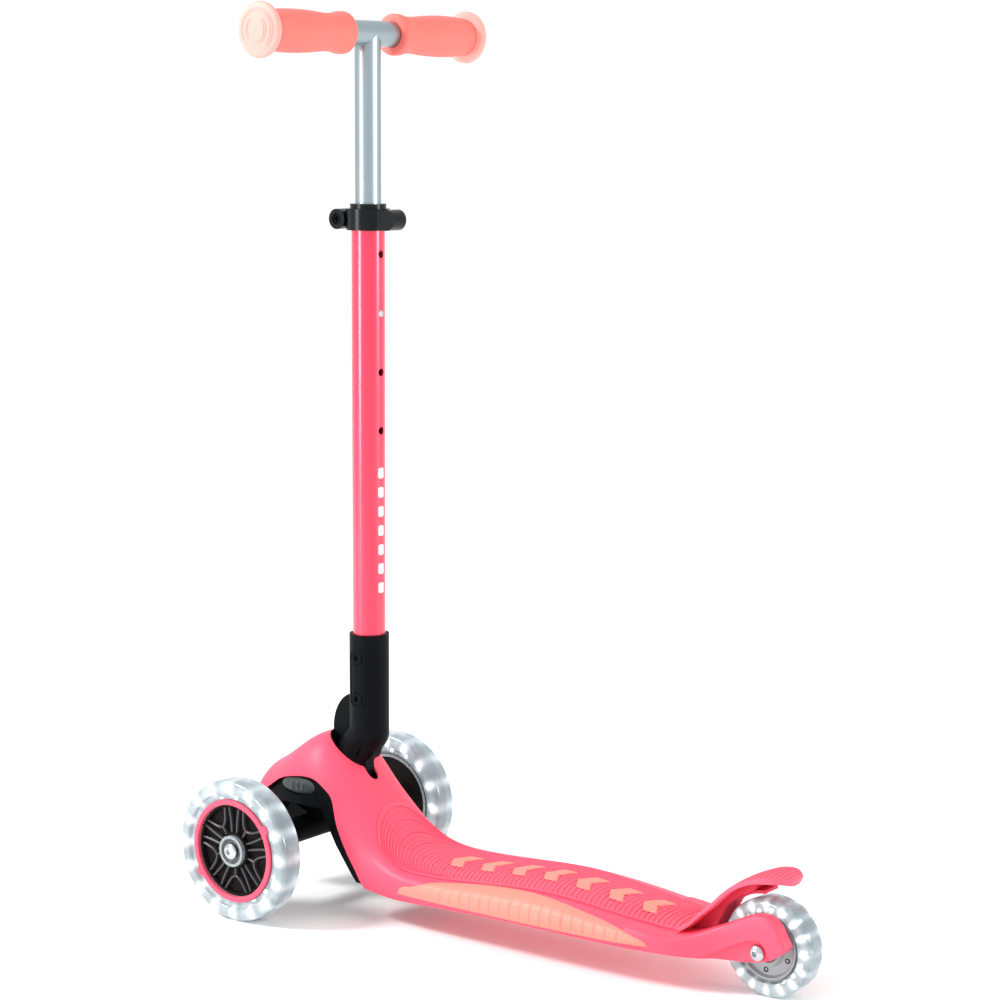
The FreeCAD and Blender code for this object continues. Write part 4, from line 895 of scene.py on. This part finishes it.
def accent_ring(side, label, body):
    """The pink ring on a wheel's outer face, with two small tabs over the tyre."""
    place = wheel_frame(side)
    section = rounded([(40.2, 8.0, 0.2), (44.8, 8.9, 0.2), (44.8, 11.0, 0.8), (40.2, 11.2, 0.8)], steps=4)
    finish_piece(lathe(f"{label}_pink_ring", section, place, PINK, 160),
                 body, "pink_plastic", f"{label}_accent_ring")
    tab = rounded([(43.5, -4.6, 0.4), (46.2, -4.6, 0.4), (46.2, -3.0, 0.3), (48.8, -3.0, 0.5),
                   (48.8, 3.0, 0.5), (46.2, 3.0, 0.3), (46.2, 4.6, 0.4), (43.5, 4.6, 0.4)], steps=3)
    points, faces = [], []
    for degrees in (32, 212):
        turned_place = place @ Matrix.Rotation(math.radians(degrees), 4, "Z")
        low, high = [[tuple(turned_place @ Vector((x, y, level))) for x, y in tab] for level in (9.0, 10.9)]
        append_mesh(points, faces, *prism(low, high))
    tabs = soften(mesh_piece(f"{label}_ring_tabs", points, faces, PINK), 0.25)
    finish_piece(tabs, body, "pink_plastic", f"{label}_accent_ring")


def bearing(label, body, side, half_width, node):
    """Two shielded ball bearings: outer race, shield and inner race."""
    bore, inner_race, shield, outer_race, rim, width = 4.0, 6.2, 6.5, 9.3, 11.0, 7.0
    points, faces = [], []
    for sign in (1, -1):
        face = sign * (half_width - 0.5)
        sunk, back = face - sign * 0.5, face - sign * width
        profile = rounded([(bore, face, 0.3), (inner_race, face, 0.3), (shield, sunk, 0.1),
                           (outer_race, sunk, 0.1), (outer_race + 0.3, face, 0.3), (rim, face, 0.4),
                           (rim, back, 0.3), (bore, back, 0.3)], steps=3)
        append_mesh(points, faces, *turned(profile, wheel_frame(side), 64))
    finish_piece(mesh_piece(f"{label}_ball_bearings", points, faces, RACE), body, "bearing_steel", node)


def domed_head(name, centre, axis, radius, height, body, node, shank_length):
    """A domed axle bolt with a socket."""
    place = frame_at(centre, axis, (1, 0, 0))
    shank, floor = 3.95, height * 0.45
    profile = [(0.02, floor), (radius * 0.30, floor), (radius * 0.34, height * 0.98)]
    profile += [(radius * math.cos(a), height * (0.18 + 0.80 * math.sin(a)))
                for a in np.linspace(math.radians(70), 0, 9)]
    profile += [(radius, 0.0), (shank, 0.0), (shank, -shank_length), (0.02, -shank_length)]
    finish_piece(lathe(name, profile, place, STEEL, 72, closed=False), body, "zinc_steel", node)


def front_wheel(side, label):
    """A front wheel, and the bolt that holds it to the truck."""
    label = f"{label}_front"
    body = f"{label}_wheel"
    front_tyre(side, label, body)
    lamp_ring(label, body, side, 45.0, 6.6, f"{label}_light_ring")
    wheel_cover(side, label, body)
    inner_cover(side, label, body)
    accent_ring(side, label, body)
    bearing(label, body, side, 12.0, f"{label}_wheel_bearings")
    domed_head(f"{label}_axle_bolt", (FRONT_X, side * 114.8, FRONT_Z), (0, side, 0), 7.0, 3.4, "front_truck",
               "front_axle_bolts", 68.0)


def rear_wheel():
    """The rear wheel, and the bolt that holds it between the fork arms."""
    inner, outer = 28.3, 39.48
    outline = rounded([(inner, 11.2, 0.6), (outer, 11.0, 8.2), (outer, -11.0, 8.2), (inner, -11.2, 0.6)],
                      steps=9)
    mat = clear_tyre("rear_tyre_look", (REAR_X * MM, 0, REAR_Z * MM), 0.0335, 0.0042)
    finish_piece(lathe("rear_clear_tyre", outline, wheel_frame(0), mat, 128),
                 "rear_wheel", "clear_tyre", "rear_tyre")
    lamp_ring("rear", "rear_wheel", 0, 28.0, 6.6, "rear_light_ring", 96)
    bearing("rear", "rear_wheel", 0, 11.5, "rear_wheel_bearings")
    rear_core()
    domed_head("rear_bolt", (REAR_X, 23.6, REAR_Z), (0, 1, 0), 6.6, 5.0, "deck", "rear_axle_bolt", 58.0)


def rear_core():
    """The rear wheel's translucent core: a dished web with five dark screw heads a side."""
    half = [(11.0, 11.4, 0.3), (13.6, 11.4, 0.8), (15.0, 7.0, 2.0), (22.5, 6.2, 1.5), (24.0, 9.6, 1.0),
            (25.8, 9.8, 0.6)]
    outline = rounded(half + [(radius, -height, bend) for radius, height, bend in half[::-1]], steps=4)
    place = wheel_frame(0)
    finish_piece(lathe("rear_hub", outline, place, HAZE, 128),
                 "rear_wheel", "clear_core", "rear_wheel_core")
    count, reach, height = 5, 18.6, 6.4
    points, faces = [], []
    for index in range(count):
        spoke = place @ Matrix.Rotation(math.radians(10) + 2 * math.pi * index / count, 4, "Z")
        for sign in (1, -1):
            centre = spoke @ Matrix.Translation((reach, 0, sign * height))
            head = [(2.1, 0.0), (2.1, 0.5), (1.3, 0.5), (1.2, -0.6), (0.02, -0.6)]
            rings = [point for radius, up in head for point in circle(centre, radius, sign * up, 24)]
            append_mesh(points, faces, rings, grid_faces(len(head), 24, False, True))
    finish_piece(mesh_piece("rear_hub_screws", points, faces, BLACK),
                 "rear_wheel", "clear_core", "rear_wheel_core")


# ---- T-bar

def around_bar(radius, angle, along):
    """A point round the handlebar."""
    return (BAR_CENTRE.x + radius * math.cos(angle), along, BAR_CENTRE.z + radius * math.sin(angle))


def grip(side, label):
    """A soft grip: a flange, a waist, a belly with an oval panel fore and aft, and ripples between them."""
    start, end, bore = 30.5, 126.5, 11.05
    radius_along = spline([(start, 15.4), (31.5, 16.8), (34, 17.5), (38, 17.4), (43, 16.3), (50, 15.6),
                           (60, 15.8), (78, 17.0), (95, 17.4), (110, 17.0), (122, 16.2), (end, 15.8)])
    panel_middle, panel_half, panel_rise, ripple_pitch = 84, 37.0, 0.62, 5.2
    rows, columns = 150, 96
    points = []
    for row in range(rows):
        along = start + (end - start) * row / (rows - 1)
        fade = smooth_step((along - 58) / 8) * smooth_step((118 - along) / 8)
        wave = 0.28 * math.cos(2 * math.pi * along / ripple_pitch)
        for angle in turns(columns):
            height = math.sin(angle)
            oval = ((along - panel_middle) / panel_half) ** 2 + (height / panel_rise) ** 2
            faces_out = abs(math.cos(angle)) > 0.3
            inside = smooth_step((1.0 - oval) / 0.10) if faces_out else 0.0
            line = math.exp(-((oval - 1.0) / 0.07) ** 2) if faces_out else 0.0
            ripple = wave * smooth_step((abs(height) - 0.80) / 0.12)
            radius = radius_along(along) - 0.75 * inside - 0.25 * line + ripple * fade
            points.append(around_bar(radius, angle, side * along))
    for along in (end, start):
        points += [around_bar(bore, angle, side * along) for angle in turns(columns)]
    faces = grid_faces(rows + 2, columns, True, True)
    finish_piece(mesh_piece(f"{label}_soft_grip", points, faces, GRIP), "t_bar", "grip_rubber", "grips")


def emboss(radius, degrees):
    """The raised part rings and centre dot on a bumper's face."""
    lift = 0.45 * math.exp(-((radius - 1.0) / 0.9) ** 2)
    for ring, gap, width in ((10.0, 90.0, 26.0), (16.0, 270.0, 34.0)):
        away = abs((degrees - gap + 180) % 360 - 180)
        shown = smooth_step((away - width) / 6)
        for line in (ring - 0.9, ring + 0.9):
            lift += 0.60 * shown * math.exp(-((radius - line) / 0.45) ** 2)
    return lift


def bumper(side, label):
    """The mushroom end of a grip, with embossed part rings and a centre dot."""
    face, end, dome = 21.0, 136.4, 3.2
    columns = 120
    points = []
    for radius in np.linspace(0.0, face, 64):
        height = end - dome * (radius / face) ** 2.4
        for angle in turns(columns):
            points.append(around_bar(radius, angle, side * (height + emboss(radius, math.degrees(angle)))))
    back = rounded([(face, 133.4, 0), (22.4, 131.8, 1.5), (22.4, 129.4, 2.0), (20.5, 127.4, 1.0),
                    (15.8, 126.7, 0.4), (9.3, 126.6, 0.3), (9.3, 105.0, 0.5), (0.02, 104.8, 0)],
                   closed=False, steps=4)
    for radius, along in back[1:]:
        points += [around_bar(radius, angle, side * along) for angle in turns(columns)]
    faces = grid_faces(len(points) // columns, columns, False, True)
    finish_piece(mesh_piece(f"{label}_bumper", points, faces, BUMPER),
                 "t_bar", "bumper_rubber", "grip_bumpers")


# ---- stem and lock button

def knuckle_seat():
    """The thin raised rim on the fold knuckle's left side, around its two bolts."""
    shell, bead, half = 17.05, 0.85, 8.2
    low, high = 184.5, 220.5
    path = []
    for step, angle in enumerate(turns(48)):
        middle = high if math.sin(angle) >= 0 else low
        path.append((half * math.cos(angle), middle + half * math.sin(angle)))
        if step in (0, 24):
            path.append((half * math.cos(angle), low if step else high))
    points = []
    for step, (across, up) in enumerate(path):
        after, before = path[(step + 1) % len(path)], path[step - 1]
        along = Vector((after[0] - before[0], after[1] - before[1])).normalized()
        for turn in turns(10):
            out = shell + bead * math.cos(turn)
            beside = bead * math.sin(turn)
            angle = (across + along.y * beside) / shell
            spot = Vector((out * math.sin(angle), out * math.cos(angle), up - along.x * beside))
            points.append(tuple(STEM_PLACE @ spot))
    finish_piece(mesh_piece("knuckle_bolt_rim", points, grid_faces(len(path), 10, True, True), BLACK),
                 "stem", "black_plastic")


def stem_marks():
    """Seven short white dashes up the back of the lower tube."""
    count, first, pitch, length = 7, 282.0, 16.6, 9.2
    tube, proud, half_turn = 14.2, 0.10, 0.24
    rows, columns = 13, 9
    points, faces = [], []
    for index in range(count):
        dash = []
        for row in range(rows):
            up = length * (row / (rows - 1) - 0.5)
            corner = max(abs(up) - 3.4, 0.0)
            half = half_turn * (1 - 0.3 * corner ** 2)
            for column in range(columns):
                share = -1 + 2 * column / (columns - 1)
                angle = math.pi - half * share - 0.02
                edge = smooth_step((1 - abs(share) + 0.01) * 6) * smooth_step(min(row, rows - 1 - row))
                radius = tube + proud * edge
                spot = (radius * math.cos(angle), radius * math.sin(angle), first + index * pitch + up)
                dash.append(tuple(STEM_PLACE @ Vector(spot)))
        append_mesh(points, faces, dash, grid_faces(rows, columns))
    finish_piece(mesh_piece("stem_dashes", points, faces, WHITE), "stem", "white_nylon")


def lock_button():
    """The oval fold button: a shallow dome with three raised bars to press on."""
    middle_x, middle_z, half_x, half_z = 214.5, 105, 19.4, 7.4
    back, rim, dome = 30.2, 38.6, 1.9
    rows, columns = 26, 72
    points = []
    for row in range(rows):
        share = row / (rows - 1)
        for angle in turns(columns):
            x, z = half_x * share * math.cos(angle), half_z * share * math.sin(angle)
            lift = dome * (1 - share ** 2.6)
            for bar in (-6.0, 0.0, 6.0):
                beside = smooth_step((1.1 - abs(x - bar)) / 0.5)
                lift += 0.45 * beside * smooth_step((4.2 - abs(z + 0.3)) / 0.8)
            points.append((middle_x + x, rim + lift, middle_z + z))
    for angle in turns(columns):
        points.append((middle_x + half_x * math.cos(angle), back, middle_z + half_z * math.sin(angle)))
    finish_piece(mesh_piece("oval_lock_button", points, grid_faces(rows + 1, columns, False, True), GREY),
                 "fold_button", "grey_plastic", "fold_button")


# ---- CAD nodes carried over

# look, rounding of the edges in millimetres, and the nodes
CARRIED = [
    (BLACK, 0.8, "fold_plate", "fold_knuckle"), (BLACK, 0.5, "front_housing", "knuckle_bolts"),
    (BLACK, 1.2, "truck_body"), (BLACK, 0.3, "clamp_bolt", "fold_pivot_pin"),
    (GLOSSY, 1.0, "clamp_collar"), (GLOSSY, 0.6, "stem_top_bushing"), (GREY, 0.3, "steering_cushion"),
    (TUBE, 0.3, "lower_stem_tube"), (ALUMINIUM, 0.2, "upper_stem_tube", "handlebar_tube"),
    (STEEL, 0.4, "kingpin_nut", "rear_axle_nut"), (STEEL, 0.3, "knuckle_nuts", "kingpin_bolt"),
    (STEEL, 0.2, "clamp_nut", "kingpin_washer", "rear_wheel_spacers", "rear_bearing_sleeve",
     "brake_pivot_pin", "front_axle_spacers", "left_front_bearing_sleeve", "right_front_bearing_sleeve"),
    (STEEL, 0.0, "height_button"), (NYLON, 0.1, "kingpin_bushes"), (NYLON, 0.3, "stem_guide_bush"),
    # The brake shoe takes the darker pink look: painted shade under the fender.
    (SHADED_PINK, 0.3, "brake_shoe"), (SPRING, 0.1, "lock_spring", "button_spring"),
    (SPRING, 0.2, "brake_return_spring"), (CLEAR, 0.3, "left_front_wheel_core", "right_front_wheel_core"),
]


def carry_over():
    """Give the CAD nodes that stay their looks and slightly rounded edges."""
    for mat, edge, *names in CARRIED:
        for name in names:
            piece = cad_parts[name]
            if not piece.material_slots:
                piece.data.materials.append(mat)
            for holder in piece.material_slots:
                holder.material = mat
            if edge:
                soften(piece, edge, 30)


add_camera()
add_stage()
carry_over()
deck_shell()
for side, label in SIDES:
    fork_arm(side, label)
    side_insert(side, label)
    grip(side, label)
    bumper(side, label)
tread_pad()
tread_emblems()
brake_fender()
brake_web()
for side, label in SIDES:
    front_wheel(side, label)
rear_wheel()
knuckle_seat()
stem_marks()
lock_button()
